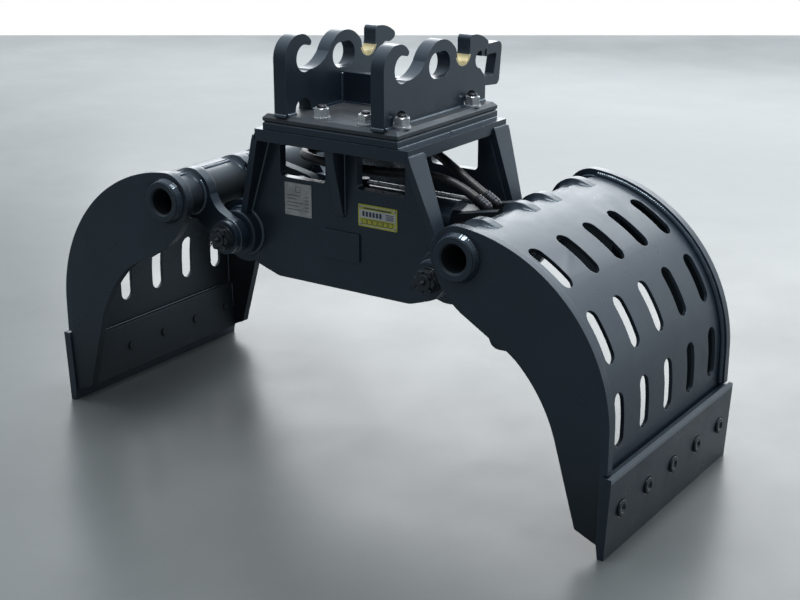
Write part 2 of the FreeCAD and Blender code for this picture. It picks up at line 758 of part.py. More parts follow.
def flange():
    """The corner flange at the right of the front web, with its top lapped onto the top plate."""
    top = TOP_FOOT + FLANGE_LAP
    foot = FLANGE_FOOT_Z
    leaning = plate_xz(
        [
            (flange_outer(foot), foot),
            (flange_outer(top), top),
            (flange_outer(top) - FLANGE_T, top),
            (flange_outer(foot) - FLANGE_T, foot),
        ],
        -TOP_Y / 2,
        -FLANGE_Y0,
    )
    taper = plate_yz(
        [
            (-TOP_Y / 2, top),
            (-TOP_Y / 2, TOP_FOOT),
            (-FLANGE_Y_FOOT, PIVOT_Z + BOSS_R),
            (-FLANGE_Y_FOOT, foot),
            (-FLANGE_Y0, foot),
            (-FLANGE_Y0, top),
        ],
        0,
        TOP_X,
    )
    piece = leaning.common(taper)
    piece = piece.cut(box(-TOP_X / 2, TOP_X / 2, -TOP_Y / 2, TOP_Y / 2, TOP_FOOT, TOP_Z))
    piece = piece.cut(boss_hole(PIVOT_X, -TOP_Y / 2, 0))
    return piece.cut(cyl_y(PIVOT_X, PIVOT_Z, WEB_LOBE_R, -WEB_Y, -WEB_Y + WEB_T))


def gusset():
    """The tapered rib in the middle of the front web, under the top plate's edge."""
    return plate_yz(
        [
            (-WEB_Y, TOP_FOOT),
            (-TOP_Y / 2 + 3, TOP_FOOT),
            (-TOP_Y / 2 + 3, TOP_FOOT - 14),
            (-WEB_Y - 6, GUSSET_FOOT_Z, 4),
            (-WEB_Y, GUSSET_FOOT_Z),
        ],
        -GUSSET_T / 2,
        GUSSET_T / 2,
    )


def boss():
    ring = cyl_y(PIVOT_X, PIVOT_Z, BOSS_R, -BOSS_Y1, -BOSS_Y0)
    ring = ring.cut(cyl_y(PIVOT_X, PIVOT_Z, BUSH_R, -BOSS_Y1 - 1, -BOSS_Y0 + 1))
    rims = [e for e in ring.Edges if abs(e.BoundBox.XLength - 2 * BOSS_R) < 0.01 and e.BoundBox.YLength < 0.01]
    return ring.makeChamfer(2.5, rims)


def bush():
    """A flanged bush; the flange carries the side load between boss and ear."""
    body = cyl_y(PIVOT_X, PIVOT_Z, BUSH_R, -BOSS_Y1, -BOSS_Y0)
    collar = cyl_y(PIVOT_X, PIVOT_Z, BUSH_COLLAR_R, -BOSS_Y1 - BUSH_COLLAR_T, -BOSS_Y1)
    bore = cyl_y(PIVOT_X, PIVOT_Z, PIN_D / 2 + PIN_CLEARANCE, -BOSS_Y1 - 5, -BOSS_Y0 + 1)
    return clean(body.fuse(collar)).cut(bore)


def four_corners(piece):
    """Copies of a front right piece at all four pivots."""
    right = [piece, flip_y(piece)]
    return group(right + [flip_x(p) for p in right])


# Hitch pieces

def hanger():
    """The right hanger plate, outline in Y and Z: front hook, hump with a hole, rear seat and horn."""
    x0, x1 = HANGER_X0, HANGER_X

    def at(spot):
        return V(x0, spot[0], spot[1])

    def around(y, spots):
        return [(y + dy, PIN_Z + dz) for dy, dz in spots]

    def arcs(spots):
        return [Part.Arc(at(a), at(b), at(c)).toShape() for a, b, c in zip(spots[::2], spots[1::2], spots[2::2])]

    def line(a, b):
        return Part.LineSegment(at(a), at(b)).toShape()

    seat_in = (SEAT_Y - SEAT_R, PIN_Z)
    seat_out = (SEAT_Y + SEAT_R, PIN_Z)
    lip = (SEAT_Y + SEAT_R, PIN_Z + SEAT_LIP)
    head = around(HOOK_Y, HOOK_ARCS) + around(HUMP_HOLE_Y, HUMP_ARCS) + around(SEAT_Y, [SEAT_SHOULDER]) + [seat_in]
    horn = [lip] + around(SEAT_Y, HORN_ARCS)
    heel = around(SEAT_Y, HEEL_ARC)
    foot = [(heel[-1][0], HITCH_Z), (head[0][0], HITCH_Z)]
    edges = arcs(head) + arcs([seat_in, (SEAT_Y, PIN_Z - SEAT_R), seat_out]) + [line(seat_out, lip)]
    edges += arcs(horn) + [line(horn[-1], heel[0])] + arcs(heel)
    edges += [line(heel[-1], foot[0]), line(foot[0], foot[1]), line(foot[1], head[0])]
    plate = Part.Face(Part.Wire(Part.__sortEdges__(edges))).extrude(V(HANGER_T, 0, 0))
    half = (HUMP_HOLE_L - HUMP_HOLE_H) / 2
    radius = HUMP_HOLE_H / 2
    middle = PIN_Z - HUMP_HOLE_DROP
    hole = box(x0 - 1, x1 + 1, HUMP_HOLE_Y - half, HUMP_HOLE_Y + half, middle - radius, middle + radius)
    ends = [cyl_x(HUMP_HOLE_Y + s * half, middle, radius, x0 - 1, x1 + 1) for s in (-1, 1)]
    plate = plate.cut(hole.fuse(ends))
    for stud_y in STUD_OUTER_Y:
        y = stud_y + ARCH_SHIFT
        round_top = cyl_x(y, HITCH_Z + ARCH_H - ARCH_R, ARCH_R, x0 - 1, x1 + 1)
        legs = box(x0 - 1, x1 + 1, y - ARCH_R, y + ARCH_R, HITCH_Z - 1, HITCH_Z + ARCH_H - ARCH_R)
        plate = plate.cut(legs.fuse(round_top))
    return plate.cut(seat_liner())


def seat_liner():
    """The round hardened liner let into the bottom of the right hanger's rear seat."""
    ring = cyl_x(SEAT_Y, PIN_Z, SEAT_R + SEAT_LINER_T, HANGER_X0, HANGER_X)
    ring = ring.cut(cyl_x(SEAT_Y, PIN_Z, SEAT_R, HANGER_X0 - 1, HANGER_X + 1))
    return ring.common(box(0, HANGER_X, 0, 2 * SEAT_Y, HITCH_Z, PIN_Z - SEAT_LINER_DROP))


def handle():
    """The lifting handle welded to the rear of the right hanger."""
    x0 = HANGER_X - HANGER_T / 2 - HANDLE_BAR / 2
    half = HANDLE_BAR / 2
    outer = [
        (HANDLE_ROOT_HIGH, HANDLE_HIGH + half),
        (HANDLE_REACH + half, HANDLE_HIGH + half, HANDLE_CORNER),
        (HANDLE_REACH_LOW + half, HANDLE_LOW - half, HANDLE_CORNER),
        (HANDLE_ROOT_LOW, HANDLE_LOW - half + HANDLE_RISE),
        (HANDLE_ROOT_LOW, HANDLE_LOW + half + HANDLE_RISE),
        (HANDLE_REACH_LOW - half, HANDLE_LOW + half, HANDLE_INNER),
        (HANDLE_REACH - half, HANDLE_HIGH - half, HANDLE_INNER),
        (HANDLE_ROOT_HIGH, HANDLE_HIGH - half),
    ]
    bar = plate_yz(outer, x0, x0 + HANDLE_BAR)
    return bar.cut(hanger())


def studs():
    z0 = ADAPTER_Z - STUD_DEPTH
    z1 = HITCH_Z + WASHER_T + NUT_T + STUD_PROUD
    made = []
    for x, y in stud_places():
        stud = cyl_z(x, y, STUD_D / 2, z0, z1)
        tip = [e for e in stud.Edges if abs(e.BoundBox.ZMin - z1) < 0.01 and e.BoundBox.ZLength < 0.01]
        made.append(stud.makeChamfer(2.0, tip))
    return group(made)


def stud_nuts():
    z0 = HITCH_Z + WASHER_T
    nuts = []
    for x, y in stud_places():
        nut = hexagon(NUT_AF, z0, z0 + NUT_T, x, y)
        crown = Part.makeCone(NUT_AF * 0.5 + NUT_T, NUT_AF * 0.5 - 0.5, NUT_T + 0.5, V(x, y, z0), V(0, 0, 1))
        nuts.append(nut.common(crown).cut(cyl_z(x, y, STUD_D / 2, z0 - 1, z0 + NUT_T + 1)))
    return group(nuts)


def stud_washers():
    made = []
    for x, y in stud_places():
        ring = cyl_z(x, y, WASHER_D / 2, HITCH_Z, HITCH_Z + WASHER_T)
        made.append(ring.cut(cyl_z(x, y, STUD_D / 2, HITCH_Z - 1, HITCH_Z + WASHER_T + 1)))
    return group(made)


# Plates and rivets on the front web

def thin_plate(place, thickness):
    x0, x1, z0, z1 = place
    return plate_xz(rectangle(x0, x1, z0, z1, 3), -WEB_Y - thickness, -WEB_Y)


def rivets():
    made = []
    for place in (DATA_PLATE, INFO_PLATE):
        x0, x1, z0, z1 = place
        face = -WEB_Y - PLATE_T
        for x in (x0 + RIVET_INSET, x1 - RIVET_INSET):
            for z in (z0 + RIVET_INSET, z1 - RIVET_INSET):
                ball = Part.makeSphere(RIVET_D * 0.7, V(x, face + RIVET_D * 0.35, z))
                made.append(ball.common(box(x - 9, x + 9, face - 9, face, z - 9, z + 9)))
    return group(made)


# Cylinder: the barrel hangs on the right jaw's lugs, the rod on the left jaw's

def barrel():
    x1 = BARREL_X1
    body = cyl_x(0, CYL_PIN_Z, BARREL_OD / 2, BARREL_X0, x1)
    eye = cyl_y(CYL_PIN_X, CYL_PIN_Z, EYE_R, -EYE_W / 2, EYE_W / 2)
    neck = box(x1 - 1, CYL_PIN_X, -EYE_W / 2, EYE_W / 2, CYL_PIN_Z - EYE_R, CYL_PIN_Z + EYE_R)
    whole = body.fuse([neck.common(cyl_x(0, CYL_PIN_Z, BARREL_OD / 2, x1 - 1, CYL_PIN_X)), eye])
    whole = clean(whole)
    whole = whole.cut(cyl_x(0, CYL_PIN_Z, BARREL_BORE / 2, BARREL_X0 - 1, x1 - BASE_T))
    whole = whole.cut(cyl_y(CYL_PIN_X, CYL_PIN_Z, CYL_PIN_D / 2 + PIN_CLEARANCE, -EYE_W, EYE_W))
    return whole


def gland():
    """The screwed head at the barrel's open end, with the rod's bore."""
    cap = cyl_x(0, CYL_PIN_Z, GLAND_OD / 2, BARREL_X0 - 16, BARREL_X0)
    plug = cyl_x(0, CYL_PIN_Z, BARREL_BORE / 2, BARREL_X0, BARREL_X0 + GLAND_L)
    bore = cyl_x(0, CYL_PIN_Z, ROD_D / 2 + PIN_CLEARANCE, BARREL_X0 - 20, BARREL_X0 + GLAND_L + 1)
    return clean(cap.fuse(plug)).cut(bore)


def piston_x0():
    return BARREL_X1 - BASE_T - PISTON_GAP - PISTON_L


def piston():
    x0 = piston_x0()
    ring = cyl_x(0, CYL_PIN_Z, BARREL_BORE / 2 - PIN_CLEARANCE, x0, x0 + PISTON_L)
    return ring.cut(cyl_x(0, CYL_PIN_Z, ROD_D / 4, x0 - 1, x0 + PISTON_L + 1))


def rod():
    x0 = piston_x0()
    shaft = cyl_x(0, CYL_PIN_Z, ROD_D / 2, ROD_EYE_X, x0)
    spigot = cyl_x(0, CYL_PIN_Z, ROD_D / 4, x0, x0 + PISTON_L)
    return clean(shaft.fuse(spigot))


def rod_eye():
    hub = cyl_y(-CYL_PIN_X, CYL_PIN_Z, EYE_R, -EYE_W / 2, EYE_W / 2)
    collar = cyl_x(0, CYL_PIN_Z, EYE_R - 4, -CYL_PIN_X, ROD_EYE_X)
    body = clean(hub.fuse(collar))
    return body.cut(cyl_y(-CYL_PIN_X, CYL_PIN_Z, CYL_PIN_D / 2 + PIN_CLEARANCE, -EYE_W, EYE_W))


# Hoses and fittings

def smooth_wire(points):
    """Straight runs joined by tangent arcs, each as wide as the shorter run beside it allows."""
    spots = [V(*p) for p in points]
    start = spots[0]
    edges = []
    for before, corner, after in zip(spots, spots[1:], spots[2:]):
        a, b = before - corner, after - corner
        half = acos(max(-1.0, min(1.0, a.normalize().dot(b.normalize())))) / 2
        shorter = min((before - corner).Length, (after - corner).Length)
        enter, middle, leave = corner_arc(before, corner, after, 0.45 * shorter * tan(half))
        edges.append(Part.LineSegment(start, enter).toShape())
        edges.append(Part.Arc(enter, middle, leave).toShape())
        start = leave
    edges.append(Part.LineSegment(start, spots[-1]).toShape())
    return Part.Wire(edges)


def pipe(points, diameter):
    path = smooth_wire(points)
    start = V(*points[0])
    ring = Part.makeCircle(diameter / 2, start, V(*points[1]) - start)
    return path.makePipeShell([Part.Wire(ring)], True, True)


def hose_end(side, back=0.0):
    """The end of a hose at the cylinder, or a point further back along its straight end."""
    lean = radians(HOSE_END_DEG)
    return (HOSE_END_X - back * cos(lean), side * HOSE_END_Y, HOSE_END_Z + back * sin(lean))


def hose(side, port_z, middle):
    start = (-BLOCK_X - FITTING_L, -side * BLOCK_PORT_Y, port_z)
    return pipe((start,) + middle + (hose_end(side, 70.0), hose_end(side)), HOSE_D)


def hose_block():
    block = box(-BLOCK_X, BLOCK_X, -BLOCK_Y, BLOCK_Y, BLOCK_Z0, TOP_FOOT)
    edges = [e for e in block.Edges if e.BoundBox.ZLength > 1]
    return block.makeChamfer(4.0, edges)


def hose_fittings():
    """The hexagon unions on the block's left face and their blanked twins on the right."""
    made = []
    for side, z in zip((1, -1), BLOCK_PORT_Z):
        for end in (-1, 1):
            nut = hexagon(FITTING_AF, 0, FITTING_L, 0, 0)
            nut.rotate(V(0, 0, 0), V(0, 1, 0), 90 * end)
            nut.translate(V(end * BLOCK_X, -side * BLOCK_PORT_Y, z))
            made.append(nut)
    return group(made)


def cylinder_ports():
    """The port block on the barrel's eye with two elbows, and the boss at the gland."""
    x0, x1, half, z0, z1 = MANIFOLD
    block = box(x0, x1, -half, half, z0, z1).cut(cyl_y(CYL_PIN_X, CYL_PIN_Z, EYE_R, -half - 1, half + 1))
    for side in (-1, 1):
        end = V(*hose_end(side))
        corner = V(*hose_end(side, -FERRULE_L))
        block = block.fuse([
            Part.makeCylinder(FERRULE_D / 2, FERRULE_L, end, corner - end),
            Part.makeSphere(ELBOW_D / 2, corner),
            cyl_z(corner.x, corner.y, ELBOW_D / 2, z1 - 2, corner.z),
        ])
    boss = cyl_z(GLAND_PORT_X, 0, GLAND_PORT_D / 2, CYL_PIN_Z, GLAND_PORT_TOP)
    boss = boss.cut(cyl_x(0, CYL_PIN_Z, BARREL_OD / 2, BARREL_X0, BARREL_X1))
    return group([clean(block), boss])


def transfer_tube():
    """The steel tube along the top of the barrel, from the port block to the gland's boss."""
    bend = TUBE_LINE_BEND
    foot = V(TUBE_LINE_X, 0, MANIFOLD[4])
    up = V(TUBE_LINE_X, 0, TUBE_LINE_Z - bend)
    middle = V(TUBE_LINE_X - bend + bend * cos(pi / 4), 0, TUBE_LINE_Z - bend + bend * sin(pi / 4))
    over = V(TUBE_LINE_X - bend, 0, TUBE_LINE_Z)
    end = V(GLAND_PORT_X + GLAND_PORT_D / 2 - 1, 0, TUBE_LINE_Z)
    edges = [Part.LineSegment(foot, up), Part.Arc(up, middle, over), Part.LineSegment(over, end)]
    path = Part.Wire([e.toShape() for e in edges])
    ring = Part.Wire(Part.makeCircle(TUBE_LINE_D / 2, foot, V(0, 0, 1)))
    tube_line = path.makePipeShell([ring], True, True)
    return tube_line.cut(cyl_z(GLAND_PORT_X, 0, GLAND_PORT_D / 2, CYL_PIN_Z, GLAND_PORT_TOP))


# Build and write every sub-part

for part, shape in jaw_pieces(lobed=True).items():
    write("jaw_right_" + part, shape)
for part, shape in jaw_pieces(lobed=False).items():
    write("jaw_left_" + part, flip_x(shape))

write("frame_top_plate", top_plate())
write("frame_adapter_plate", adapter_plate())
write("frame_web_front", web())
write("frame_web_rear", flip_y(web()))
write("frame_flanges", four_corners(flange()))
write("frame_gussets", group([gusset(), flip_y(gusset())]))
write("pivot_bosses", four_corners(boss()))
write("pivot_bushes", four_corners(bush()))
write("hitch_plate", hitch_plate())
write("hanger_right", hanger())
write("hanger_left", flip_x(hanger()))
write("hanger_cross_plate", box(-HANGER_X0, HANGER_X0, CROSS_Y, CROSS_Y + CROSS_T, HITCH_Z, CROSS_TOP))
write("seat_liners", group([seat_liner(), flip_x(seat_liner())]))
write("lifting_handle", handle())
write("hitch_studs", studs())
write("hitch_nuts", stud_nuts())
write("hitch_washers", stud_washers())
write("data_plate", thin_plate(DATA_PLATE, PLATE_T))
write("info_plate", thin_plate(INFO_PLATE, PLATE_T))
write("blank_plate", thin_plate(BLANK_PLATE, BLANK_PLATE_T))
write("plate_rivets", rivets())
write("cylinder_barrel", barrel())
write("cylinder_gland", gland())
write("cylinder_piston", piston())
write("cylinder_rod", rod())
write("cylinder_rod_eye", rod_eye())
write("cylinder_pin_right", cylinder_pin())
write("cylinder_pin_left", flip_x(cylinder_pin()))
write("hose_block", hose_block())
write("hose_fittings", hose_fittings())
write("hose_extend", hose(1, BLOCK_PORT_Z[0], HOSE_EXTEND))
write("hose_retract", hose(-1, BLOCK_PORT_Z[1], HOSE_RETRACT))
write("cylinder_ports", cylinder_ports())
write("cylinder_transfer_tube", transfer_tube())
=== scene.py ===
import json
from math import atan2, ceil, cos, hypot, pi, radians, sin, sqrt

import bmesh
import bpy
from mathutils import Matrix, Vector, noise


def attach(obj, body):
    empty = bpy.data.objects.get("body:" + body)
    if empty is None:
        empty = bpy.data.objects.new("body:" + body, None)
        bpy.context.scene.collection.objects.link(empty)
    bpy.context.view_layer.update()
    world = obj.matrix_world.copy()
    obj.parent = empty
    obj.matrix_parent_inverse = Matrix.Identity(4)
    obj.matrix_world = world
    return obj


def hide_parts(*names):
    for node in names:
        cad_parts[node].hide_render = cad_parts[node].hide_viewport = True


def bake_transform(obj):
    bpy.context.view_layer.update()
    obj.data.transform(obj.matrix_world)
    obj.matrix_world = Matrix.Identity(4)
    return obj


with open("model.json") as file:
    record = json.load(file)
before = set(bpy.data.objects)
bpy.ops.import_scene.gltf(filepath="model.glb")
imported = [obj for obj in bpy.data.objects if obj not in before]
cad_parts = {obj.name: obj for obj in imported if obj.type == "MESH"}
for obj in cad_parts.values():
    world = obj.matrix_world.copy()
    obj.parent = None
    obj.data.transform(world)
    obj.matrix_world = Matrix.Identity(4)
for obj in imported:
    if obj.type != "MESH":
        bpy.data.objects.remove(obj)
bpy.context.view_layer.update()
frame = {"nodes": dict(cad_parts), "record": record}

NODES = frame["nodes"]

MM = 0.001

# Places and sizes of the CAD model, millimetres; pairs are (x, z) unless their comment says otherwise
PIVOT = (274.0, 472.0)
TUBE = (382.0, 556.0)
TUBE_R = 44.5
COLLAR_R = 58.0
CYL_PIN = (250.0, 532.0)
ARC = (360.0, 254.0)
SKIN_R1 = 353.0                 # back sheet, outside
SKIN_R0 = 345.0                 # back sheet, inside
SKIN_END_DEG = 84.5
LIP_TURN = radians(SKIN_END_DEG + 0.6)
LIP = (ARC[0] + 347.0 * cos(LIP_TURN), ARC[1] + 347.0 * sin(LIP_TURN))      # the back sheet's upper end
RIM_LIFT = 2.5                  # how far the rim's bead stands outside the sheet
SIDE_IN = 275.0
SIDE_OUT = 295.0
EAR_Y = (188.0, 213.0)          # from and to
EAR_SKIN_DEG = (68.5, 79.0)     # from and to
LUG_Y = (33.5, 58.5)            # from and to
PIN_FACE = 229.5                # Y of the seat for a pivot pin's washer
SEAT_R = 38.0
EDGE_TOP = 175.0
EDGE_FOOT_X = 728.4
EDGE_LEAN = 9.2                 # how far the edge's top stands out past its foot
EDGE_DEG = 3.01                 # the same as an angle
EDGE_BOLT_Z = 92.4
EDGE_BOLT_PITCH = 120.8
CARRIER_TOP = 155.0
CARRIER_END = ((694.0, 34.0), (694.5, 152.0))
WEB_HALF = 190.0
WEB_OUT = 155.0
WEB_IN = 135.0
BOSS_R = 53.0
FLANGE_TOP_X = 209.0
FLANGE_SLOPE = 0.327
FLANGE_T = 16.0
FLANGE_FOOT = 516.0
GUSSET_X = 10.0
GUSSET_Y = 196.0
GUSSET_FOOT = 550.0
TOP_FOOT = 698.9                # top plate: underside, upper face, half length
TOP_Z = 724.9
TOP_HALF = 201.2
PLATE_ENDS = ((TOP_HALF, 710.5, 143, 198), (176.0, TOP_Z + 0.5, 2, 197))    # x, z and from y to y
HITCH_Z = 760.3
HANGER_X = (110.4, 142.9)       # inner and outer face
HANGER_FRONT = -198.4
HANGER_FEET = ((-195.0, -166.5), (-109.5, 109.5), (166.5, 197.0))   # from and to, along Y
CROSS_PLATE_Y = (3.0, 23.0)     # front and rear face
CROSS_PLATE_TOP = 827.0
CROSS_PLATE_HALF = 108.0
HANDLE_X = (114.6, 138.6)       # from and to
HANDLE_PADS = ((791.5, 816.0, 200.4), (860.0, 884.0, 208.5))        # from z, to z, y
PLATE_FACE = -157.0
PRINT_SUNK = 0.3                # depth of the print's back in the plates
BARREL_R = 31.0
BARREL_EYE_X = 206.5
ROD_R = 23.5
ROD_EYE_X = -206.0
PORT_HALF = 29.0
PORT_FOOT = ((262.0, 563.5), (294.0, 541.0))
NUT_SLOT_Y = PIN_FACE + 4.0 + 13.4      # past the washer, in the castle nut's slot
PIN_END_Y = PIN_FACE + 22.0
CIRCLIP_Y = 60.5
COTTER_WIRE = 0.0011            # metres
STUDS = [(sx * 157.0, y) for sx in (-1, 1) for y in (-152.0, 124.0)]        # x and y
STUDS += [(x, y) for x in (-39.0, 76.0) for y in (-168.0, 150.0)]
THREAD_Z = (HITCH_Z + 23.2, HITCH_Z + 27.0)
THREAD_PITCH = 2.5
THREAD_R = 9.75

# Hoses: the block's end and the points that shape each route, then the end at the barrel's port
HOSE_D = 21.0
HOSE_SIDES = 22
HOSE_STEP = 0.004               # metres
HOSE_LEAN = radians(30.0)
HOSE_STRAIGHT = 70.0
HOSE_END = (263.6, 18.5, 591.5)
HOSES = {
    "hose_extend": (1, ((-78.0, -22.0, 676.0), (-176.0, -22.0, 676.0), (-176.0, 96.0, 674.0),
                        (50.0, 96.0, 664.0), (140.0, 36.0, 656.0))),
    "hose_retract": (-1, ((-78.0, 22.0, 650.0), (-176.0, 22.0, 650.0), (-176.0, -96.0, 648.0),
                          (30.0, -96.0, 640.0), (120.0, -36.0, 634.0))),
}
FERRULE_PAST_END = 19.0

# Weld beads and the skins over the crests
BEAD_STEP = 1.7
BEAD_PITCH = 5.2
CREST_DEG = (74.0, 92.0)        # where a skin starts and ends round the arc
CREST_BLEND = 9.0               # height over which collar and sheet run together
CREST_WIDTH = 15.0
CREST_FIRST = 0.35              # the first line beside the collar
CREST_STEPS = 64
CREST_WOBBLE = 0.25
CREST_SUNK = 0.8                # depth of a skin's rim in the sheet
CREST_UNDER = 2.6               # depth of its underside
COLLAR_RIPPLES = 22
COLLAR_SIDES = 220

# Turned profiles: pairs of a distance along the axis and a radius
TUBE_COLLAR_PROFILE = [(-3.0, 52.0), (0.5, 51.6), (2.2, 50.6), (4.6, 49.3), (7.2, 48.0), (9.8, 46.7),
                       (11.8, 45.7), (13.2, 44.9), (13.2, 44.0), (-3.0, 44.0)]
NIPPLE_PROFILE = [(-0.5, 5.6), (3.0, 5.6), (3.6, 4.6), (5.4, 3.0), (6.4, 3.0), (7.2, 3.7), (8.2, 3.5),
                  (9.0, 2.2), (9.2, 0.4)]
CIRCLIP_PROFILE = [(0.0, 16.5), (0.0, 20.5), (0.4, 21.0), (1.8, 21.0), (2.2, 20.5), (2.2, 16.5)]
CRIMP = [(0.0, 9.0), (0.0, 12.6), (2.0, 13.2), (4.0, 13.2), (5.0, 12.2), (7.0, 12.2), (8.0, 13.3),
         (11.0, 13.3), (12.0, 12.3), (14.0, 12.3), (15.0, 13.3), (18.0, 13.3), (19.0, 12.3),
         (21.0, 12.3), (22.0, 13.2), (25.0, 13.2), (26.5, 12.0), (27.5, 10.8), (27.5, 9.0)]
# The same with a third value: 1 where the section is a hexagon
BOLT_HEAD_PROFILE = [(-1.0, 17.4, 0), (0.4, 17.6, 0), (3.8, 17.4, 0), (4.6, 16.8, 0), (5.0, 15.8, 0),
                     (5.0, 12.0, 0), (5.0, 7.6, 1), (1.2, 7.2, 1)]
BOLT_HEAD_SIDES = 48

# Colours and gloss that several paints share
PAINT_GLOSS = (0.72, 0.88, 1.0, 1.0)
PAINT_SPECULAR = 0.8
NAVY = (0.019, 0.029, 0.045)
DUST = (0.034, 0.046, 0.060)
# The paint's lighter edge colour: partly rubbed wear, partly painted highlight of light catching
# rounded edges; the edge width follows
RUBBED_AND_HIGHLIT = (0.10, 0.125, 0.155)
SATIN = (0.25, 0.38)
SOFT_EDGE = 0.0013              # metres, as all the lengths of the shaders are
WORN_AND_HIGHLIT_EDGE = 0.0022
ROUNDED_SHARE = (0.995, 0.86)   # how much the rounded normal agrees with the face's: face and edge
# Painted shade: a near-black colour and a rougher finish laid into the jaws' recesses; its reach and
# limits follow
PAINTED_SHADE = (0.004, 0.005, 0.007)
PAINTED_SHADE_ROUGH = (0.8, 0.2)        # in a recess and on an open face
RECESS_REACH = 0.32
RECESS_SHARE = (0.62, 0.97)     # how open a face is, at full painted shade and at none
RECESS_END = (0.347, 0.350)     # distance from the arc's axis where the painted shade ends
FACES_AXIS = (0.9, 0.97)        # a face counts as square to an axis from here on
EDGE_CHAMFER = (0.1650, 0.7280) # height and X where the look of a chamfer starts

# Floor, room, lamps and camera, metres
FLOOR_HALF = (6.1, 7.5)         # along and across the camera's direction
FLOOR_TONE = (0.150, 0.166, 0.169)
FLOOR_DARK = (0.112, 0.125, 0.128)
# Painted light: the floor's colour grows paler toward the back over a span of Y
FLOOR_PAINTED_LIGHT = (0.33, 0.355, 0.36)
FLOOR_PAINTED_LIGHT_SPAN = (0.3, 3.8)
ROOM_BRIGHT_SIDE = (-0.30, 0.68, 0.67)
ROOM_LIGHT = (0.19, 1.35)       # away from the bright side and toward it
ROOM_COLOUR = (0.90, 0.955, 1.0, 1.0)
# Name, place, target, power, width and height
LAMPS = (("back_window", (-1.6, 4.6, 2.3), (0.2, 0.0, 0.5), 150.0, 6.5, 2.4),
         ("ceiling", (0.5, 0.1, 3.9), (0.2, 0.0, 0.3), 66.0, 1.4, 0.8))
CAMERA_PLACE = (1.826, -2.616, 1.398)
CAMERA_PITCH = radians(90 - 18.79)
CAMERA_YAW = radians(34.21)
CAMERA_LENS = 66.0              # millimetres, as the sensor
CAMERA_SENSOR = 36.0


def mm(x, y, z):
    """A point given in millimetres, in metres."""
    return Vector((x, y, z)) * MM


# ---------------------------------------------------------------- materials

def add(tree, kind, inputs=None, **settings):
    """A shader node with its settings and unlinked input values."""
    made = tree.nodes.new(kind)
    for key, value in settings.items():
        setattr(made, key, value)
    for key, value in (inputs or {}).items():
        made.inputs[key].default_value = value
    return made


def new_material(name):
    """A material with a Principled shader and nothing else."""
    material = bpy.data.materials.new(name)
    material.use_nodes = True
    tree = material.node_tree
    tree.nodes.clear()
    out = add(tree, "ShaderNodeOutputMaterial")
    shader = add(tree, "ShaderNodeBsdfPrincipled")
    tree.links.new(shader.outputs[0], out.inputs[0])
    return material, tree, shader


def noise_map(tree, scale, detail, low, high, to_low=0.0, to_high=1.0, rough=0.6):
    """Noise in object space, stretched to a range."""
    place = add(tree, "ShaderNodeTexCoord")
    cloud = add(tree, "ShaderNodeTexNoise", {"Scale": scale, "Detail": detail, "Roughness": rough})
    tree.links.new(place.outputs["Object"], cloud.inputs["Vector"])
    spread = add(tree, "ShaderNodeMapRange", {1: low, 2: high, 3: to_low, 4: to_high})
    tree.links.new(cloud.outputs["Fac"], spread.inputs[0])
    return spread.outputs[0]


def mixed(tree, factor, a, b):
    """A colour between a and b; each may be a colour or another node's output."""
    mix = add(tree, "ShaderNodeMix", data_type="RGBA")
    tree.links.new(factor, mix.inputs["Factor"])
    for socket, value in ((mix.inputs[6], a), (mix.inputs[7], b)):
        if isinstance(value, tuple):
            socket.default_value = value + (1.0,)
        else:
            tree.links.new(value, socket)
    return mix.outputs[2]


def stepped(tree, value, start, end):
    """0 at start and before it, 1 at end and past it."""
    spread = add(tree, "ShaderNodeMapRange", {1: start, 2: end, 3: 0.0, 4: 1.0})
    tree.links.new(value, spread.inputs[0])
    return spread.outputs[0]


def scaled(tree, value, low, high):
    """A 0..1 value spread between two numbers."""
    spread = add(tree, "ShaderNodeMapRange", {1: 0.0, 2: 1.0, 3: low, 4: high})
    tree.links.new(value, spread.inputs[0])
    return spread.outputs[0]


def computed(tree, operation, *values):
    """The result of a Math node on other nodes' outputs."""
    made = add(tree, "ShaderNodeMath", operation=operation)
    for socket, value in zip(made.inputs, values):
        tree.links.new(value, socket)
    return made.outputs[0]


def edge_wear_and_highlight_mask(tree, radius, breakup):
    """1 along sharp edges, 0 on faces, broken up by noise; it lays on both rubbed wear and a painted
    highlight.
    """
    rounded = add(tree, "ShaderNodeBevel", {"Radius": radius}, samples=6)
    here = add(tree, "ShaderNodeNewGeometry")
    dot = add(tree, "ShaderNodeVectorMath", operation="DOT_PRODUCT")
    tree.links.new(rounded.outputs[0], dot.inputs[0])
    tree.links.new(here.outputs["Normal"], dot.inputs[1])
    return computed(tree, "MULTIPLY", stepped(tree, dot.outputs["Value"], *ROUNDED_SHARE), breakup)


def recess_shade_mask(tree):
    """Where painted shade goes: 0 deep inside a jaw, 1 on open faces and everywhere outside the back
    sheet.
    """
    near = add(tree, "ShaderNodeAmbientOcclusion", {"Distance": RECESS_REACH}, samples=6)
    clear = stepped(tree, near.outputs["AO"], *RECESS_SHARE)
    place = add(tree, "ShaderNodeTexCoord")
    spot = add(tree, "ShaderNodeSeparateXYZ")
    tree.links.new(place.outputs["Object"], spot.inputs[0])
    flat = add(tree, "ShaderNodeCombineXYZ")
    tree.links.new(computed(tree, "ABSOLUTE", spot.outputs["X"]), flat.inputs["X"])
    upper = add(tree, "ShaderNodeMath", {1: ARC[1] * MM}, operation="MAXIMUM")
    tree.links.new(spot.outputs["Z"], upper.inputs[0])
    tree.links.new(upper.outputs[0], flat.inputs["Z"])
    centre = (ARC[0] * MM, 0.0, ARC[1] * MM)
    from_arc = add(tree, "ShaderNodeVectorMath", {1: centre}, operation="DISTANCE")
    tree.links.new(flat.outputs[0], from_arc.inputs[0])
    outside = stepped(tree, from_arc.outputs["Value"], *RECESS_END)
    return computed(tree, "MAXIMUM", clear, outside)


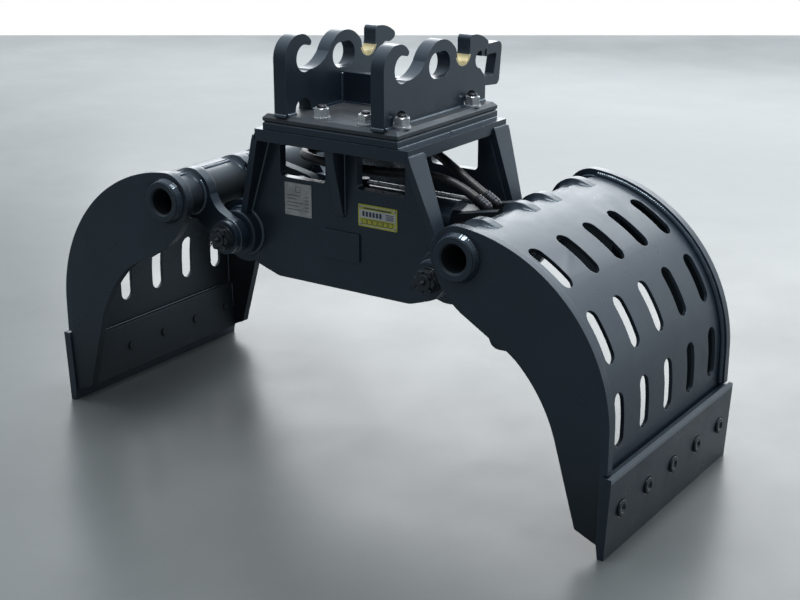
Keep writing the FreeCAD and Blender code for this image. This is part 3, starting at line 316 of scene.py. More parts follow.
def tilted_normal(tree, height, outer):
    """A normal that makes the outer top edge of a cutting edge look chamfered.

    It leans up on upright faces above a height, and out on the top face beyond an X distance."""
    place = add(tree, "ShaderNodeTexCoord")
    spot = add(tree, "ShaderNodeSeparateXYZ")
    tree.links.new(place.outputs["Object"], spot.inputs[0])
    facing = add(tree, "ShaderNodeSeparateXYZ")
    tree.links.new(place.outputs["Normal"], facing.inputs[0])
    upright = stepped(tree, computed(tree, "ABSOLUTE", facing.outputs["X"]), *FACES_AXIS)
    raised = computed(tree, "MULTIPLY", upright, stepped(tree, spot.outputs["Z"], height, height + MM))
    beyond = stepped(tree, computed(tree, "ABSOLUTE", spot.outputs["X"]), outer, outer + MM)
    level = computed(tree, "MULTIPLY", beyond, stepped(tree, facing.outputs["Z"], *FACES_AXIS))
    lift = add(tree, "ShaderNodeCombineXYZ")
    outward = computed(tree, "MULTIPLY", level, computed(tree, "SIGN", spot.outputs["X"]))
    tree.links.new(outward, lift.inputs["X"])
    tree.links.new(raised, lift.inputs["Z"])
    joined = add(tree, "ShaderNodeVectorMath", operation="ADD")
    tree.links.new(place.outputs["Normal"], joined.inputs[0])
    tree.links.new(lift.outputs[0], joined.inputs[1])
    turned = add(tree, "ShaderNodeVectorTransform", vector_type="NORMAL",
                 convert_from="OBJECT", convert_to="WORLD")
    tree.links.new(joined.outputs[0], turned.inputs[0])
    made = add(tree, "ShaderNodeVectorMath", operation="NORMALIZE")
    tree.links.new(turned.outputs[0], made.inputs[0])
    return made.outputs[0]


def bumped(tree, shader, sources, soft_edge, first=None):
    """Chains bump layers of (height, strength, distance) on a given or a rounded-edge normal."""
    normal = first
    if soft_edge and not first:
        rounded = add(tree, "ShaderNodeBevel", {"Radius": soft_edge}, samples=6)
        normal = rounded.outputs[0]
    for height, strength, distance in sources:
        bump = add(tree, "ShaderNodeBump", {"Strength": strength, "Distance": distance})
        tree.links.new(height, bump.inputs["Height"])
        if normal:
            tree.links.new(normal, bump.inputs["Normal"])
        normal = bump.outputs[0]
    tree.links.new(normal, shader.inputs["Normal"])


def paint(name, base, dark, edge_wear_and_highlight_colour, dust, rough=SATIN, lightened_edges=0.55, dusty=0.35, painted_recess_shade=False,
          chamfer=None, ior=1.5):
    """Satin paint: cloudy tone, orange peel, dusty patches, and lighter edges that are partly rubbed
    wear and partly painted highlight.

    The recess flag paints shade into recesses as a darker, rougher finish, and chamfer gives a cutting
    edge's bevel: its height and X in metres."""
    material, tree, shader = new_material(name)
    tone = mixed(tree, noise_map(tree, 7.0, 5.0, 0.35, 0.68), base, dark)
    patches = noise_map(tree, 2.6, 7.0, 0.52, 0.78, 0.0, dusty, 0.68)
    tone = mixed(tree, patches, tone, dust)
    edge_breakup = noise_map(tree, 34.0, 6.0, 0.42, 0.62, 0.15, lightened_edges, 0.7)
    # Lighter edges: partly rubbed wear, partly painted highlight of light on rounded edges
    tone = mixed(tree, edge_wear_and_highlight_mask(tree, WORN_AND_HIGHLIT_EDGE, edge_breakup), tone, edge_wear_and_highlight_colour)
    shader.inputs["Specular Tint"].default_value = PAINT_GLOSS
    shader.inputs["Specular IOR Level"].default_value = PAINT_SPECULAR
    shader.inputs["IOR"].default_value = ior
    gloss = noise_map(tree, 16.0, 6.0, 0.3, 0.7, rough[0], rough[1])
    # Painted shade: recesses take a near-black colour and a rougher finish where ambient occlusion
    # finds them enclosed
    if painted_recess_shade:
        open_face = recess_shade_mask(tree)
        tone = mixed(tree, open_face, PAINTED_SHADE, tone)
        gloss = computed(tree, "MAXIMUM", gloss, scaled(tree, open_face, *PAINTED_SHADE_ROUGH))
    tree.links.new(tone, shader.inputs["Base Color"])
    tree.links.new(gloss, shader.inputs["Roughness"])
    peel = noise_map(tree, 330.0, 2.0, 0.3, 0.7)
    waves = noise_map(tree, 22.0, 3.0, 0.3, 0.7)
    first = tilted_normal(tree, *chamfer) if chamfer else None
    bumped(tree, shader, ((waves, 0.05, 0.001), (peel, 0.10, 0.0004)), SOFT_EDGE, first)
    return material


def metal(name, base, tint, rough=(0.22, 0.42), scale=60.0, metallic=1.0):
    """Bare or plated metal with a cloudy tone and a fine grain."""
    material, tree, shader = new_material(name)
    tone = mixed(tree, noise_map(tree, scale, 4.0, 0.35, 0.65), base, tint)
    tree.links.new(tone, shader.inputs["Base Color"])
    shader.inputs["Metallic"].default_value = metallic
    gloss = noise_map(tree, scale * 1.7, 5.0, 0.3, 0.7, rough[0], rough[1])
    tree.links.new(gloss, shader.inputs["Roughness"])
    fine = noise_map(tree, scale * 8, 3.0, 0.3, 0.7)
    bumped(tree, shader, ((fine, 0.15, 0.0004),), 0.0006)
    return material


def rubber(name, base, dust):
    """Dusty rubber with the fine pattern of a wrapped hose."""
    material, tree, shader = new_material(name)
    tone = mixed(tree, noise_map(tree, 24.0, 6.0, 0.45, 0.75, 0.0, 0.5), base, dust)
    tree.links.new(tone, shader.inputs["Base Color"])
    tree.links.new(noise_map(tree, 40.0, 4.0, 0.3, 0.7, 0.34, 0.5), shader.inputs["Roughness"])
    wrap = noise_map(tree, 420.0, 2.0, 0.3, 0.7)
    bumped(tree, shader, ((wrap, 0.25, 0.0006),), 0.0)
    return material


def printed(name, base, tint, rough=0.45, metallic=0.0):
    """A flat printed or bare plate with light smears."""
    material, tree, shader = new_material(name)
    tone = mixed(tree, noise_map(tree, 30.0, 5.0, 0.4, 0.7), base, tint)
    tree.links.new(tone, shader.inputs["Base Color"])
    shader.inputs["Metallic"].default_value = metallic
    gloss = noise_map(tree, 50.0, 4.0, 0.3, 0.7, rough - 0.08, rough + 0.1)
    tree.links.new(gloss, shader.inputs["Roughness"])
    fine = noise_map(tree, 500.0, 2.0, 0.3, 0.7)
    bumped(tree, shader, ((fine, 0.12, 0.0003),), 0.0005)
    return material


FRAME_PAINT = paint("frame_paint", NAVY, (0.014, 0.022, 0.035), (0.09, 0.115, 0.145), DUST)
# The jaw paint carries painted shade in its recesses
JAW_PAINT = paint("jaw_paint", NAVY, (0.014, 0.022, 0.034), RUBBED_AND_HIGHLIT, DUST, painted_recess_shade=True)
# A darker copy of the navy paint: painted shade on the cutting edges' faces
SHADED_EDGE_PAINT = paint("shaded_edge_paint", (0.013, 0.021, 0.034), (0.010, 0.016, 0.026), RUBBED_AND_HIGHLIT,
                   (0.030, 0.041, 0.054), chamfer=EDGE_CHAMFER)
CREST_PAINT = paint("crest_paint", NAVY, (0.014, 0.022, 0.034), RUBBED_AND_HIGHLIT, DUST)
WELD_PAINT = paint("weld_paint", (0.021, 0.033, 0.051), (0.015, 0.024, 0.039), (0.11, 0.135, 0.165),
                   (0.042, 0.054, 0.068), rough=(0.10, 0.18), lightened_edges=0.35, dusty=0.15, ior=1.75)
COLLAR_PAINT = paint("collar_paint", (0.016, 0.026, 0.041), (0.012, 0.019, 0.031), (0.11, 0.135, 0.165),
                     DUST, rough=(0.08, 0.16), lightened_edges=0.35, dusty=0.15)
# Near-black bolt heads: painted shade, with the painted recess shade on top
SHADED_EDGE_BOLT_PAINT = paint("shaded_edge_bolt_paint", (0.007, 0.009, 0.012), (0.004, 0.005, 0.007),
                        (0.09, 0.10, 0.11), (0.02, 0.022, 0.025), lightened_edges=0.9, painted_recess_shade=True)
BOLT_PAINT = paint("bolt_steel", (0.020, 0.024, 0.030), (0.012, 0.014, 0.018), (0.11, 0.115, 0.12),
                   (0.05, 0.05, 0.05), lightened_edges=0.8)
HITCH_PAINT = paint("hitch_plate_paint", (0.045, 0.050, 0.056), (0.032, 0.037, 0.044),
                    (0.15, 0.15, 0.15), (0.155, 0.135, 0.115), rough=(0.36, 0.55), lightened_edges=0.8, dusty=0.8)
PIN_STEEL = metal("pin_steel", (0.42, 0.43, 0.45), (0.25, 0.26, 0.28))
STUD_STEEL = metal("stud_steel", (0.06, 0.065, 0.075), (0.03, 0.032, 0.04), rough=(0.3, 0.5),
                   metallic=0.8)
BRONZE = metal("bronze", (0.60, 0.42, 0.20), (0.45, 0.30, 0.14))
GOLD = metal("liner_gold", (0.78, 0.66, 0.36), (0.62, 0.55, 0.34), rough=(0.25, 0.45), scale=30.0)
ZINC = metal("zinc", (0.80, 0.84, 0.86), (0.62, 0.66, 0.69), rough=(0.16, 0.34), metallic=0.7)
CHROME = metal("chrome_rod", (0.86, 0.87, 0.89), (0.78, 0.79, 0.82), rough=(0.06, 0.14), scale=20.0)
HOSE = rubber("hose_rubber", (0.018, 0.019, 0.022), (0.09, 0.095, 0.10))
ALUMINIUM = printed("plate_aluminium", (0.56, 0.57, 0.57), (0.36, 0.37, 0.37), 0.45, 0.35)
YELLOW = printed("plate_yellow", (0.62, 0.62, 0.08), (0.46, 0.47, 0.07))
WHITE_PRINT = printed("print_white", (0.62, 0.66, 0.70), (0.50, 0.54, 0.58))
DARK_PRINT = printed("print_dark", (0.06, 0.07, 0.09), (0.04, 0.045, 0.06))
GREY_PRINT = printed("print_grey", (0.13, 0.135, 0.14), (0.10, 0.105, 0.11))

SLOT_MATERIALS = {
    "frame_paint": FRAME_PAINT, "jaw_paint": JAW_PAINT, "bolt_steel": BOLT_PAINT,
    "pin_steel": PIN_STEEL, "bronze": BRONZE, "liner_gold": GOLD, "zinc": ZINC, "chrome_rod": CHROME,
    "hose_rubber": HOSE, "plate_aluminium": ALUMINIUM, "plate_yellow": YELLOW,
}
NODE_MATERIALS = {"hitch_plate": HITCH_PAINT, "hitch_studs": STUD_STEEL, "cylinder_ports": STUD_STEEL}
for jaw in ("jaw_left", "jaw_right"):
    NODE_MATERIALS[jaw + "_edge_bolts"] = SHADED_EDGE_BOLT_PAINT
    NODE_MATERIALS[jaw + "_cutting_edge"] = SHADED_EDGE_PAINT
    NODE_MATERIALS[jaw + "_pivot_pins"] = BOLT_PAINT
    NODE_MATERIALS[jaw + "_ear_front"] = FRAME_PAINT
    NODE_MATERIALS[jaw + "_ear_rear"] = FRAME_PAINT


def dress(obj, material):
    """Gives a piece one material and no other."""
    obj.data.materials.clear()
    obj.data.materials.append(material)


for row in frame["record"]["subparts"]:
    name = row["node"]
    dress(NODES[name], NODE_MATERIALS.get(name, SLOT_MATERIALS[row["material_slot"]]))


# ---------------------------------------------------------------- mesh helpers

def make(name, bm, material, body, smooth=True):
    """Turns a bmesh into a piece that rides on a body."""
    bmesh.ops.recalc_face_normals(bm, faces=bm.faces)
    mesh = bpy.data.meshes.new(name)
    bm.to_mesh(mesh)
    bm.free()
    obj = bpy.data.objects.new(name, mesh)
    bpy.context.scene.collection.objects.link(obj)
    mesh.materials.append(material)
    for polygon in mesh.polygons:
        polygon.use_smooth = smooth
    if body:
        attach(obj, body)
    return obj


def resample(points, step, closed):
    """Points at even steps along a polyline."""
    line = list(points) + ([points[0]] if closed else [])
    lengths = [(b - a).length for a, b in zip(line, line[1:])]
    total = sum(lengths)
    count = max(2, int(ceil(total / step)))
    made = []
    index, passed = 0, 0.0
    for k in range(count if closed else count + 1):
        s = total * k / count
        while index < len(lengths) - 1 and s > passed + lengths[index]:
            passed += lengths[index]
            index += 1
        t = (s - passed) / lengths[index] if lengths[index] else 0.0
        made.append(line[index].lerp(line[index + 1], min(1.0, t)))
    return made, total / count


def bridge(bm, rings, closed=False):
    """Faces between rings, and then over both ends or from the last ring back to the first."""
    sides = len(rings[0])
    pairs = list(zip(rings, rings[1:])) + ([(rings[-1], rings[0])] if closed else [])
    for a, b in pairs:
        for k in range(sides):
            bm.faces.new((a[k], a[(k + 1) % sides], b[(k + 1) % sides], b[k]))
    if not closed:
        bm.faces.new(rings[0])
        bm.faces.new(rings[-1])


def sweep(bm, path, radii, sides, closed=False):
    """A round section carried along a path without twist."""
    count = len(path)
    rings = []
    normal = None
    for i, point in enumerate(path):
        before = path[(i - 1) % count] if closed or i else path[i]
        after = path[(i + 1) % count] if closed or i < count - 1 else path[i]
        tangent = (after - before).normalized()
        if normal is None:
            normal = tangent.orthogonal().normalized()
        normal = (normal - tangent * normal.dot(tangent)).normalized()
        other = tangent.cross(normal)
        ring = []
        for k in range(sides):
            angle = 2 * pi * k / sides
            ring.append(bm.verts.new(point + (normal * cos(angle) + other * sin(angle)) * radii[i]))
        rings.append(ring)
    bridge(bm, rings, closed)


def bead(bm, points, radius, closed=False):
    """A weld bead with overlapping ripples along a line given in millimetres."""
    path, step = resample([Vector(p) for p in points], BEAD_STEP, closed)
    radii = []
    for i, point in enumerate(path):
        ripple = abs(sin(pi * i * step / BEAD_PITCH))
        uneven = noise.noise(point * 0.05)
        radii.append(radius * (0.86 + 0.17 * ripple + 0.12 * uneven) * MM)
    if not closed:
        radii[0] *= 0.6
        radii[-1] *= 0.6
    sweep(bm, [p * MM for p in path], radii, 8, closed)


def circle_y(centre, radius, y, start=0.0, end=360.0, sx=1):
    """Points round an axis along Y; centre is (x, z)."""
    count = max(8, int(abs(end - start) / 4))
    whole = abs(end - start) >= 360
    made = []
    for k in range(count + (0 if whole else 1)):
        angle = radians(start + (end - start) * k / count)
        made.append((sx * (centre[0] + radius * cos(angle)), y, centre[1] + radius * sin(angle)))
    return made


def circle_x(centre, radius, x):
    """Points round an axis along X; centre is (y, z)."""
    angles = [2 * pi * k / 60 for k in range(60)]
    return [(x, centre[0] + radius * cos(angle), centre[1] + radius * sin(angle)) for angle in angles]


def lathe(bm, profile, origin, axis, sides=40):
    """A closed turned shape from (along, radius) pairs, millimetres, about an axis through origin."""
    axis = Vector(axis).normalized()
    u = axis.orthogonal().normalized()
    w = axis.cross(u)
    angles = [2 * pi * k / sides for k in range(sides)]
    rings = []
    for along, radius in profile:
        centre = Vector(origin) + axis * along
        rings.append([bm.verts.new((centre + (u * cos(a) + w * sin(a)) * radius) * MM) for a in angles])
    bridge(bm, rings)


# ---------------------------------------------------------------- welds

def flange_inner(z):
    """X of a corner flange's inner face at a height."""
    return FLANGE_TOP_X + FLANGE_SLOPE * (TOP_FOOT - z) - FLANGE_T


def crest_skin(bm, sx, y0, y1):
    """Weld metal that carries the back sheet smoothly over a collar between y0 and y1."""
    low, high = CREST_DEG
    reach = hypot(TUBE[0] - ARC[0], TUBE[1] - ARC[1])
    lean = atan2(TUBE[1] - ARC[1], TUBE[0] - ARC[0])
    outside = [CREST_FIRST + (CREST_WIDTH - CREST_FIRST) * (k / 12.0) ** 1.4 for k in range(13)]
    lines = [(y0 - d, d) for d in reversed(outside)]
    lines += [(y0 + (y1 - y0) * k / 8, 0.0) for k in range(9)]
    lines += [(y1 + d, d) for d in outside]
    top, under = [], []
    for i in range(CREST_STEPS + 1):
        deg = low + (high - low) * i / CREST_STEPS
        angle, turn = radians(deg), radians(deg) - lean
        off = reach * sin(turn)
        # heights of the collar and the tube along this ray, from the arc's axis
        chord = sqrt(COLLAR_R ** 2 - off ** 2) if abs(off) < COLLAR_R else -COLLAR_R
        crest = reach * cos(turn) + chord
        tube = reach * cos(turn) + sqrt(max(0.0, TUBE_R ** 2 - off ** 2))
        # the ground under the skin passes from the sheet to the tube at the sheet's end
        step = min(1.0, max(0.0, (deg - SKIN_END_DEG + 0.8) / 2.0))
        step = step * step * (3.0 - 2.0 * step)
        base = SKIN_R1 * (1.0 - step) + tube * step
        over = crest - base
        blend = max(0.0, CREST_BLEND - abs(over)) / CREST_BLEND
        rise = max(over, 0.0) + blend * blend * CREST_BLEND / 4.0
        cover = 1.1 * min(1.0, rise / 1.5)
        dive = min(1.0, max(0.0, (deg - high + 2.0) / 2.0)) * 1.2
        spread = min(CREST_WIDTH - 1.0, 3.0 + 1.3 * rise)
        row, low_row = [], []
        for y, d in lines:
            fall = max(0.0, 1.0 - d / spread) ** 2.2
            wobble = CREST_WOBBLE * noise.noise(Vector((deg * 0.35, y * 0.09, sx)))
            radii = (base - CREST_SUNK + (rise + cover + wobble) * fall - dive,
                     base - CREST_UNDER - dive)
            for made, radius in zip((row, low_row), radii):
                x, z = ARC[0] + radius * cos(angle), ARC[1] + radius * sin(angle)
                made.append(bm.verts.new(mm(sx * x, y, z)))
        top.append(row)
        under.append(low_row)
    for grid in (top, under):
        for a, b in zip(grid, grid[1:]):
            for k in range(len(lines) - 1):
                bm.faces.new((a[k], a[k + 1], b[k + 1], b[k]))
    for k in range(len(lines) - 1):
        for i in (0, -1):
            bm.faces.new((top[i][k], top[i][k + 1], under[i][k + 1], under[i][k]))
    for i in range(CREST_STEPS):
        for k in (0, -1):
            bm.faces.new((top[i][k], top[i + 1][k], under[i + 1][k], under[i][k]))


def crest_skins(sx):
    """The four crests of a jaw: over both ears' collars and both lugs'."""
    bm = bmesh.new()
    for y0, y1 in (EAR_Y, LUG_Y):
        crest_skin(bm, sx, y0, y1)
        crest_skin(bm, sx, -y1, -y0)
    return bm


def jaw_welds(sx):
    """The beads of one jaw: ears, lugs, rims, carrier and the back sheet's upper end."""
    bm = bmesh.new()
    for sy in (-1, 1):
        for y, radius in zip(EAR_Y, (5.0, 7.0)):
            bead(bm, circle_y(TUBE, TUBE_R, sy * y, sx=sx), radius, True)
            bead(bm, circle_y(ARC, SKIN_R0, sy * y, *EAR_SKIN_DEG, sx=sx), 4.0)
        bead(bm, circle_y(PIVOT, SEAT_R, sy * EAR_Y[1], sx=sx), 3.2, True)
        for y in LUG_Y:
            bead(bm, circle_y(TUBE, TUBE_R, sy * y, sx=sx), 4.5, True)
        rims = ((SKIN_R1 + RIM_LIFT, EDGE_TOP + 3, 7.4), (SKIN_R0, CARRIER_TOP, 4.2))
        for reach, foot, radius in rims:
            line = circle_y(ARC, reach, sy * SIDE_IN, SKIN_END_DEG, 0.0, sx=sx)
            line.append((sx * (ARC[0] + reach), sy * SIDE_IN, foot))
            bead(bm, line, radius)
        carrier = [(sx * x, sy * SIDE_IN, z) for x, z in CARRIER_END]
        bead(bm, carrier, 4.0)
        bead(bm, circle_y(TUBE, TUBE_R + 1, sy * SIDE_IN, sx=sx), 5.0, True)
    for x, z, radius in ((ARC[0] + SKIN_R0, CARRIER_TOP, 4.0), LIP + (5.4,)):
        bead(bm, [(sx * x, -SIDE_IN, z), (sx * x, SIDE_IN, z)], radius)
    return bm


def tube_collars(sx):
    """The heavy fillet welds round the tube's ends, outside the side plates."""
    bm = bmesh.new()
    for sy in (-1, 1):
        origin = Vector((sx * TUBE[0], sy * SIDE_OUT, TUBE[1]))
        axis = Vector((0, sy, 0))
        u, w = Vector((1, 0, 0)), Vector((0, 0, 1))
        rings = []
        for along, radius in TUBE_COLLAR_PROFILE:
            ring = []
            for k in range(COLLAR_SIDES):
                angle = 2 * pi * k / COLLAR_SIDES
                out = u * cos(angle) + w * sin(angle)
                grow = 0.0
                if radius > 45 and along > 0:       # only the bead's open face is uneven
                    ripple = abs(sin(angle * COLLAR_RIPPLES))
                    grow = 0.3 * ripple + 0.9 * noise.noise(out * 2.2 + axis * along * 0.1)
                ring.append(bm.verts.new((origin + axis * along + out * (radius + grow)) * MM))
            rings.append(ring)
        bridge(bm, rings, True)
    return bm


def frame_welds():
    """The beads of the frame and the hitch on it."""
    bm = bmesh.new()
    for sy in (-1, 1):
        for y in (WEB_OUT, WEB_IN):
            bead(bm, [(-WEB_HALF, sy * y, TOP_FOOT), (WEB_HALF, sy * y, TOP_FOOT)], 4.0)
        for side in (-1, 1):
            x = side * GUSSET_X
            bead(bm, [(x, sy * WEB_OUT, TOP_FOOT - 2), (x, sy * WEB_OUT, GUSSET_FOOT)], 3.2)
            bead(bm, [(x, sy * WEB_OUT, TOP_FOOT), (x, sy * GUSSET_Y, TOP_FOOT)], 3.0)
            bead(bm, [(side * flange_inner(z), sy * WEB_OUT, z) for z in (TOP_FOOT, FLANGE_FOOT)], 4.2)
            bead(bm, circle_y(PIVOT, BOSS_R, sy * WEB_OUT, sx=side), 7.0, True)
            bead(bm, circle_y(PIVOT, BOSS_R, sy * WEB_IN, sx=side), 4.6, True)
            for x, z, y0, y1 in PLATE_ENDS:
                bead(bm, [(side * x, sy * y0, z), (side * x, sy * y1, z)], 3.4)
    for side in (-1, 1):
        for x in HANGER_X:
            for y0, y1 in HANGER_FEET:
                bead(bm, [(side * x, y0, HITCH_Z), (side * x, y1, HITCH_Z)], 5.6)
        inner = side * HANGER_X[0]
        for y in CROSS_PLATE_Y:
            bead(bm, [(inner, y, HITCH_Z), (inner, y, CROSS_PLATE_TOP)], 7.0)
        bead(bm, [(side * x, HANGER_FRONT, HITCH_Z) for x in HANGER_X], 5.0)
    for y in CROSS_PLATE_Y:
        bead(bm, [(-CROSS_PLATE_HALF, y, HITCH_Z), (CROSS_PLATE_HALF, y, HITCH_Z)], 4.0)
    x0, x1 = HANDLE_X
    for z0, z1, y in HANDLE_PADS:
        bead(bm, [(x0, y, z0), (x1, y, z0), (x1, y, z1), (x0, y, z1)], 3.2, True)
    return bm


def edge_bolt_heads(sx):
    """The heads of the cutting edge's bolts, standing proud with a hex socket."""
    bm = bmesh.new()
    lean = radians(EDGE_DEG)
    out = Vector((sx * cos(lean), 0.0, sin(lean)))
    up = Vector((-sx * sin(lean), 0.0, cos(lean)))
    centre_x = EDGE_FOOT_X + EDGE_LEAN * EDGE_BOLT_Z / EDGE_TOP
    for k in range(5):
        centre = Vector((sx * centre_x, EDGE_BOLT_PITCH * (k - 2), EDGE_BOLT_Z))
        turn = 0.7 * k + sx
        rings = []
        for along, radius, hexed in BOLT_HEAD_PROFILE:
            ring = []
            for i in range(BOLT_HEAD_SIDES):
                angle = 2 * pi * i / BOLT_HEAD_SIDES
                reach = radius
                if hexed:
                    reach /= cos((angle + turn) % (pi / 3) - pi / 6)
                spot = centre + out * along + (Vector((0.0, sin(angle), 0.0)) + up * cos(angle)) * reach
                ring.append(bm.verts.new(spot * MM))
            rings.append(ring)
        bridge(bm, rings)
    return bm


make("frame_welds", frame_welds(), WELD_PAINT, "frame")
for side, sx in (("right", 1), ("left", -1)):
    make("jaw_%s_welds" % side, jaw_welds(sx), WELD_PAINT, "jaw_" + side)
    make("jaw_%s_crest_skins" % side, crest_skins(sx), CREST_PAINT, "jaw_" + side)
    make("jaw_%s_tube_collars" % side, tube_collars(sx), COLLAR_PAINT, "jaw_" + side)
for side, sx in (("right", 1), ("left", -1)):
    heads = edge_bolt_heads(sx)
    make("jaw_%s_edge_bolt_heads" % side, heads, SHADED_EDGE_BOLT_PAINT, "jaw_" + side)

bm = bmesh.new()
bead(bm, circle_x((0.0, CYL_PIN[1]), BARREL_R, BARREL_EYE_X), 4.5, True)
for y in (-PORT_HALF, PORT_HALF):
    bead(bm, [(x, y, z) for x, z in PORT_FOOT], 3.0)
make("barrel_welds", bm, FRAME_PAINT, "barrel")
bm = bmesh.new()
bead(bm, circle_x((0.0, CYL_PIN[1]), ROD_R, ROD_EYE_X), 4.0, True)
make("rod_eye_weld", bm, FRAME_PAINT, "rod")


# ---------------------------------------------------------------- hoses and their fittings

def spline_points(points):
    """Points along the smooth curve that a route's points control."""
    curve = bpy.data.curves.new("route", "CURVE")
    curve.dimensions = "3D"
    curve.resolution_u = 24
    spline = curve.splines.new("NURBS")
    spline.points.add(len(points) - 1)
    for spot, p in zip(spline.points, points):
        spot.co = (p[0] * MM, p[1] * MM, p[2] * MM, 1.0)
    spline.order_u = 3
    spline.use_endpoint_u = True
    holder = bpy.data.objects.new("route", curve)
    mesh = bpy.data.meshes.new_from_object(holder)
    made = [v.co.copy() for v in mesh.vertices]
    bpy.data.objects.remove(holder)
    bpy.data.meshes.remove(mesh)
    bpy.data.curves.remove(curve)
    return made


for name, (side, route) in HOSES.items():
    end = Vector((HOSE_END[0], side * HOSE_END[1], HOSE_END[2]))
    along = Vector((cos(HOSE_LEAN), 0.0, -sin(HOSE_LEAN)))
    before = end - along * HOSE_STRAIGHT
    line = spline_points(list(route) + [tuple(before), tuple(end)])
    path, step = resample(line, HOSE_STEP, False)
    bm = bmesh.new()
    sweep(bm, path, [HOSE_D / 2000.0] * len(path), HOSE_SIDES)
    hose = make(name + "_skin", bm, HOSE, None)
    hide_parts(name)
    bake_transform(hose)
    bm = bmesh.new()
    lathe(bm, CRIMP, route[0], (-1, 0, 0))
    make(name + "_block_ferrule", bm, ZINC, "frame")
    bm = bmesh.new()
    lathe(bm, CRIMP, tuple(end + along * FERRULE_PAST_END), tuple(-along))
    make(name + "_port_ferrule", bm, STUD_STEEL, "barrel")


# ---------------------------------------------------------------- fasteners

def stud_threads():
    """The threads on the ends of the hitch studs, above their nuts."""
    bm = bmesh.new()
    low, high = THREAD_Z
    turns = (high - low) / THREAD_PITCH
    count = int(turns * 36)
    for x, y in STUDS:
        line = []
        for k in range(count + 1):
            angle = 2 * pi * turns * k / count
            z = low + (high - low) * k / count
            line.append(mm(x + THREAD_R * cos(angle), y + THREAD_R * sin(angle), z))
        sweep(bm, line, [0.0006] * len(line), 6)
    return bm


make("stud_threads", stud_threads(), STUD_STEEL, "frame")


def cotter(sx, sy):
    """A split pin through a castle nut's slot, its legs bent round the nut."""
    bm = bmesh.new()
    turn = radians(30)
    out = Vector((cos(turn), 0, sin(turn)))
    up = Vector((-sin(turn), 0, cos(turn)))
    base = Vector((sx * PIVOT[0], sy * NUT_SLOT_Y, PIVOT[1]))
    away = Vector((0, sy, 0))
    for leg in (-1, 1):
        side = up * (1.2 * leg)
        line = [base + out * -27 + side, base + out * 25 + side]
        for reach, bend, back in ((28, 1.0, -1.0), (28.5, 7, -2.0), (26.5, 14, -2.5)):
            line.append(base + out * reach + side + up * leg * bend + away * back)
        path, step = resample([p * MM for p in line], 0.0012, False)
        sweep(bm, path, [COTTER_WIRE] * len(path), 8)
    eye = []
    for k in range(24):
        angle = 2 * pi * k / 24
        eye.append((base + out * (-31 + 4.6 * cos(angle)) + up * 4.0 * sin(angle)) * MM)
    sweep(bm, eye, [COTTER_WIRE] * len(eye), 8, True)
    return bm


def nipple(sx, sy):
    """A grease nipple's head on the end of a pivot pin."""
    bm = bmesh.new()
    lathe(bm, NIPPLE_PROFILE, (sx * PIVOT[0], sy * PIN_END_Y, PIVOT[1]), (0, sy, 0), 24)
    return bm


def circlip(bm, x, sy):
    """A retaining ring on the end of a cylinder pin."""
    lathe(bm, CIRCLIP_PROFILE, (x, sy * CIRCLIP_Y, CYL_PIN[1]), (0, sy, 0), 48)


for side, sx in (("right", 1), ("left", -1)):
    for end, sy in (("front", -1), ("rear", 1)):
        make("split_pin_%s_%s" % (side, end), cotter(sx, sy), STUD_STEEL, "jaw_" + side)
        make("nipple_%s_%s" % (side, end), nipple(sx, sy), STUD_STEEL, "jaw_" + side)
    bm = bmesh.new()
    for sy in (-1, 1):
        circlip(bm, sx * CYL_PIN[0], sy)
    make("circlips_" + side, bm, STUD_STEEL, "jaw_" + side)


# ---------------------------------------------------------------- print on the two plates

def strips(name, boxes, lift, material):
    """Flat raised print: boxes of (x0, x1, z0, z1) on the plates' face."""
    bm = bmesh.new()
    for x0, x1, z0, z1 in boxes:
        corners = [(x0, z0), (x1, z0), (x1, z1), (x0, z1)]
        front = [bm.verts.new(mm(x, PLATE_FACE - lift, z)) for x, z in corners]
        back = [bm.verts.new(mm(x, PLATE_FACE + PRINT_SUNK, z)) for x, z in corners]
        bm.faces.new(front)
        bm.faces.new(back)
        for k in range(4):
            bm.faces.new((front[k], front[(k + 1) % 4], back[(k + 1) % 4], back[k]))
    make(name, bm, material, "frame", smooth=False)


def outline(x0, x1, z0, z1, width):
    """The four strips of a frame round a rectangle."""
    return [(x0, x1, z0, z0 + width), (x0, x1, z1 - width, z1),
            (x0, x0 + width, z0, z1), (x1 - width, x1, z0, z1)]


# Data plate: five lines with a short entry at the right, and a small square
boxes = []
for k, width in enumerate((34.0, 26.0, 44.0, 30.0, 40.0)):
    z = 575.0 - 8.0 * k
    boxes.append((-147.0, -147.0 + width, z, z + 1.6))
    boxes.append((-98.0, -88.0, z, z + 1.6))
boxes += outline(-124.0, -110.0, 583.0, 597.0, 1.2)
strips("data_plate_print", boxes, 0.15, GREY_PRINT)

# Info plate: a white panel and frame, six boxes, a headline, six bars and four short lines
strips("info_plate_panel", [(51.5, 141.5, 554.5, 572.5)], 0.15, WHITE_PRINT)
strips("info_plate_frame", outline(49.0, 144.0, 538.0, 581.0, 1.4), 0.2, WHITE_PRINT)
boxes = []
for k in range(6):
    x = 56.0 + 13.8 * k
    boxes += outline(x, x + 11.6, 541.0, 552.0, 1.0)
boxes += [(60.0, 132.0, 574.6, 577.6)]
boxes += [(57.0 + 8.8 * k, 63.0 + 8.8 * k, 558.0, 569.0) for k in range(6)]
boxes += [(118.0, 138.0, 557.5 + 3.4 * k, 559.2 + 3.4 * k) for k in range(4)]
strips("info_plate_print", boxes, 0.3, DARK_PRINT)


# ---------------------------------------------------------------- floor, light, camera

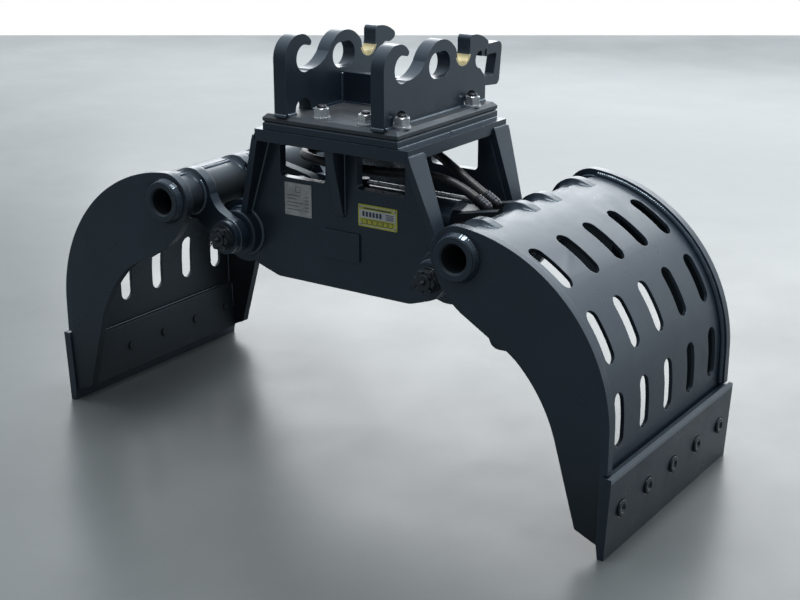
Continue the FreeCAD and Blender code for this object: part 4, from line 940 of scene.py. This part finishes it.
def floor_material():
    """Smooth concrete with cloudy grey tones, and painted light that makes it paler toward the back."""
    material, tree, shader = new_material("floor_concrete")
    tone = mixed(tree, noise_map(tree, 0.9, 6.0, 0.35, 0.7), FLOOR_TONE, FLOOR_DARK)
    place = add(tree, "ShaderNodeTexCoord")
    parts = add(tree, "ShaderNodeSeparateXYZ")
    tree.links.new(place.outputs["Object"], parts.inputs[0])
    # Painted light: paler colour toward the back of the floor
    tone = mixed(tree, stepped(tree, parts.outputs["Y"], *FLOOR_PAINTED_LIGHT_SPAN), tone, FLOOR_PAINTED_LIGHT)
    tree.links.new(tone, shader.inputs["Base Color"])
    tree.links.new(noise_map(tree, 2.2, 6.0, 0.3, 0.7, 0.28, 0.40), shader.inputs["Roughness"])
    fine = noise_map(tree, 90.0, 4.0, 0.3, 0.7)
    bumped(tree, shader, ((fine, 0.06, 0.001),), 0.0)
    return material


bm = bmesh.new()
ahead = Vector((-sin(CAMERA_YAW), cos(CAMERA_YAW), 0.0))
across = Vector((cos(CAMERA_YAW), sin(CAMERA_YAW), 0.0))
signs = ((-1, -1), (-1, 1), (1, 1), (1, -1))
corners = [ahead * FLOOR_HALF[0] * a + across * FLOOR_HALF[1] * b for a, b in signs]
bm.faces.new([bm.verts.new(c) for c in corners])
floor = make("floor", bm, floor_material(), None)

# A soft room, brighter toward the back and above; the camera itself sees plain white
world = bpy.data.worlds.new("studio")
bpy.context.scene.world = world
world.use_nodes = True
tree = world.node_tree
tree.nodes.clear()
place = add(tree, "ShaderNodeTexCoord")
dot = add(tree, "ShaderNodeVectorMath", {1: ROOM_BRIGHT_SIDE}, operation="DOT_PRODUCT")
tree.links.new(place.outputs["Generated"], dot.inputs[0])
spread = add(tree, "ShaderNodeMapRange", {1: -0.15, 2: 0.9, 3: ROOM_LIGHT[0], 4: ROOM_LIGHT[1]})
tree.links.new(dot.outputs["Value"], spread.inputs[0])
light = add(tree, "ShaderNodeBackground", {"Color": ROOM_COLOUR})
tree.links.new(spread.outputs[0], light.inputs["Strength"])
white = add(tree, "ShaderNodeBackground", {"Color": (1.0, 1.0, 1.0, 1.0), "Strength": 1.0})
ray = add(tree, "ShaderNodeLightPath")
choose = add(tree, "ShaderNodeMixShader")
tree.links.new(ray.outputs["Is Camera Ray"], choose.inputs[0])
tree.links.new(light.outputs[0], choose.inputs[1])
tree.links.new(white.outputs[0], choose.inputs[2])
out = add(tree, "ShaderNodeOutputWorld")
tree.links.new(choose.outputs[0], out.inputs[0])


def lamp(name, place, target, power, width, height):
    """A rectangular area light that faces a target."""
    data = bpy.data.lights.new(name, "AREA")
    data.shape = "RECTANGLE"
    data.energy = power
    data.size = width
    data.size_y = height
    obj = bpy.data.objects.new(name, data)
    obj.location = place
    obj.rotation_euler = (Vector(target) - Vector(place)).to_track_quat("-Z", "Y").to_euler()
    bpy.context.scene.collection.objects.link(obj)


for row in LAMPS:
    lamp(*row)

camera_data = bpy.data.cameras.new("camera")
camera_data.lens = CAMERA_LENS
camera_data.sensor_width = CAMERA_SENSOR
camera = bpy.data.objects.new("camera", camera_data)
camera.location = CAMERA_PLACE
camera.rotation_euler = (CAMERA_PITCH, 0.0, CAMERA_YAW)
bpy.context.scene.collection.objects.link(camera)
bpy.context.scene.camera = camera
bpy.context.scene.view_settings.view_transform = "Standard"
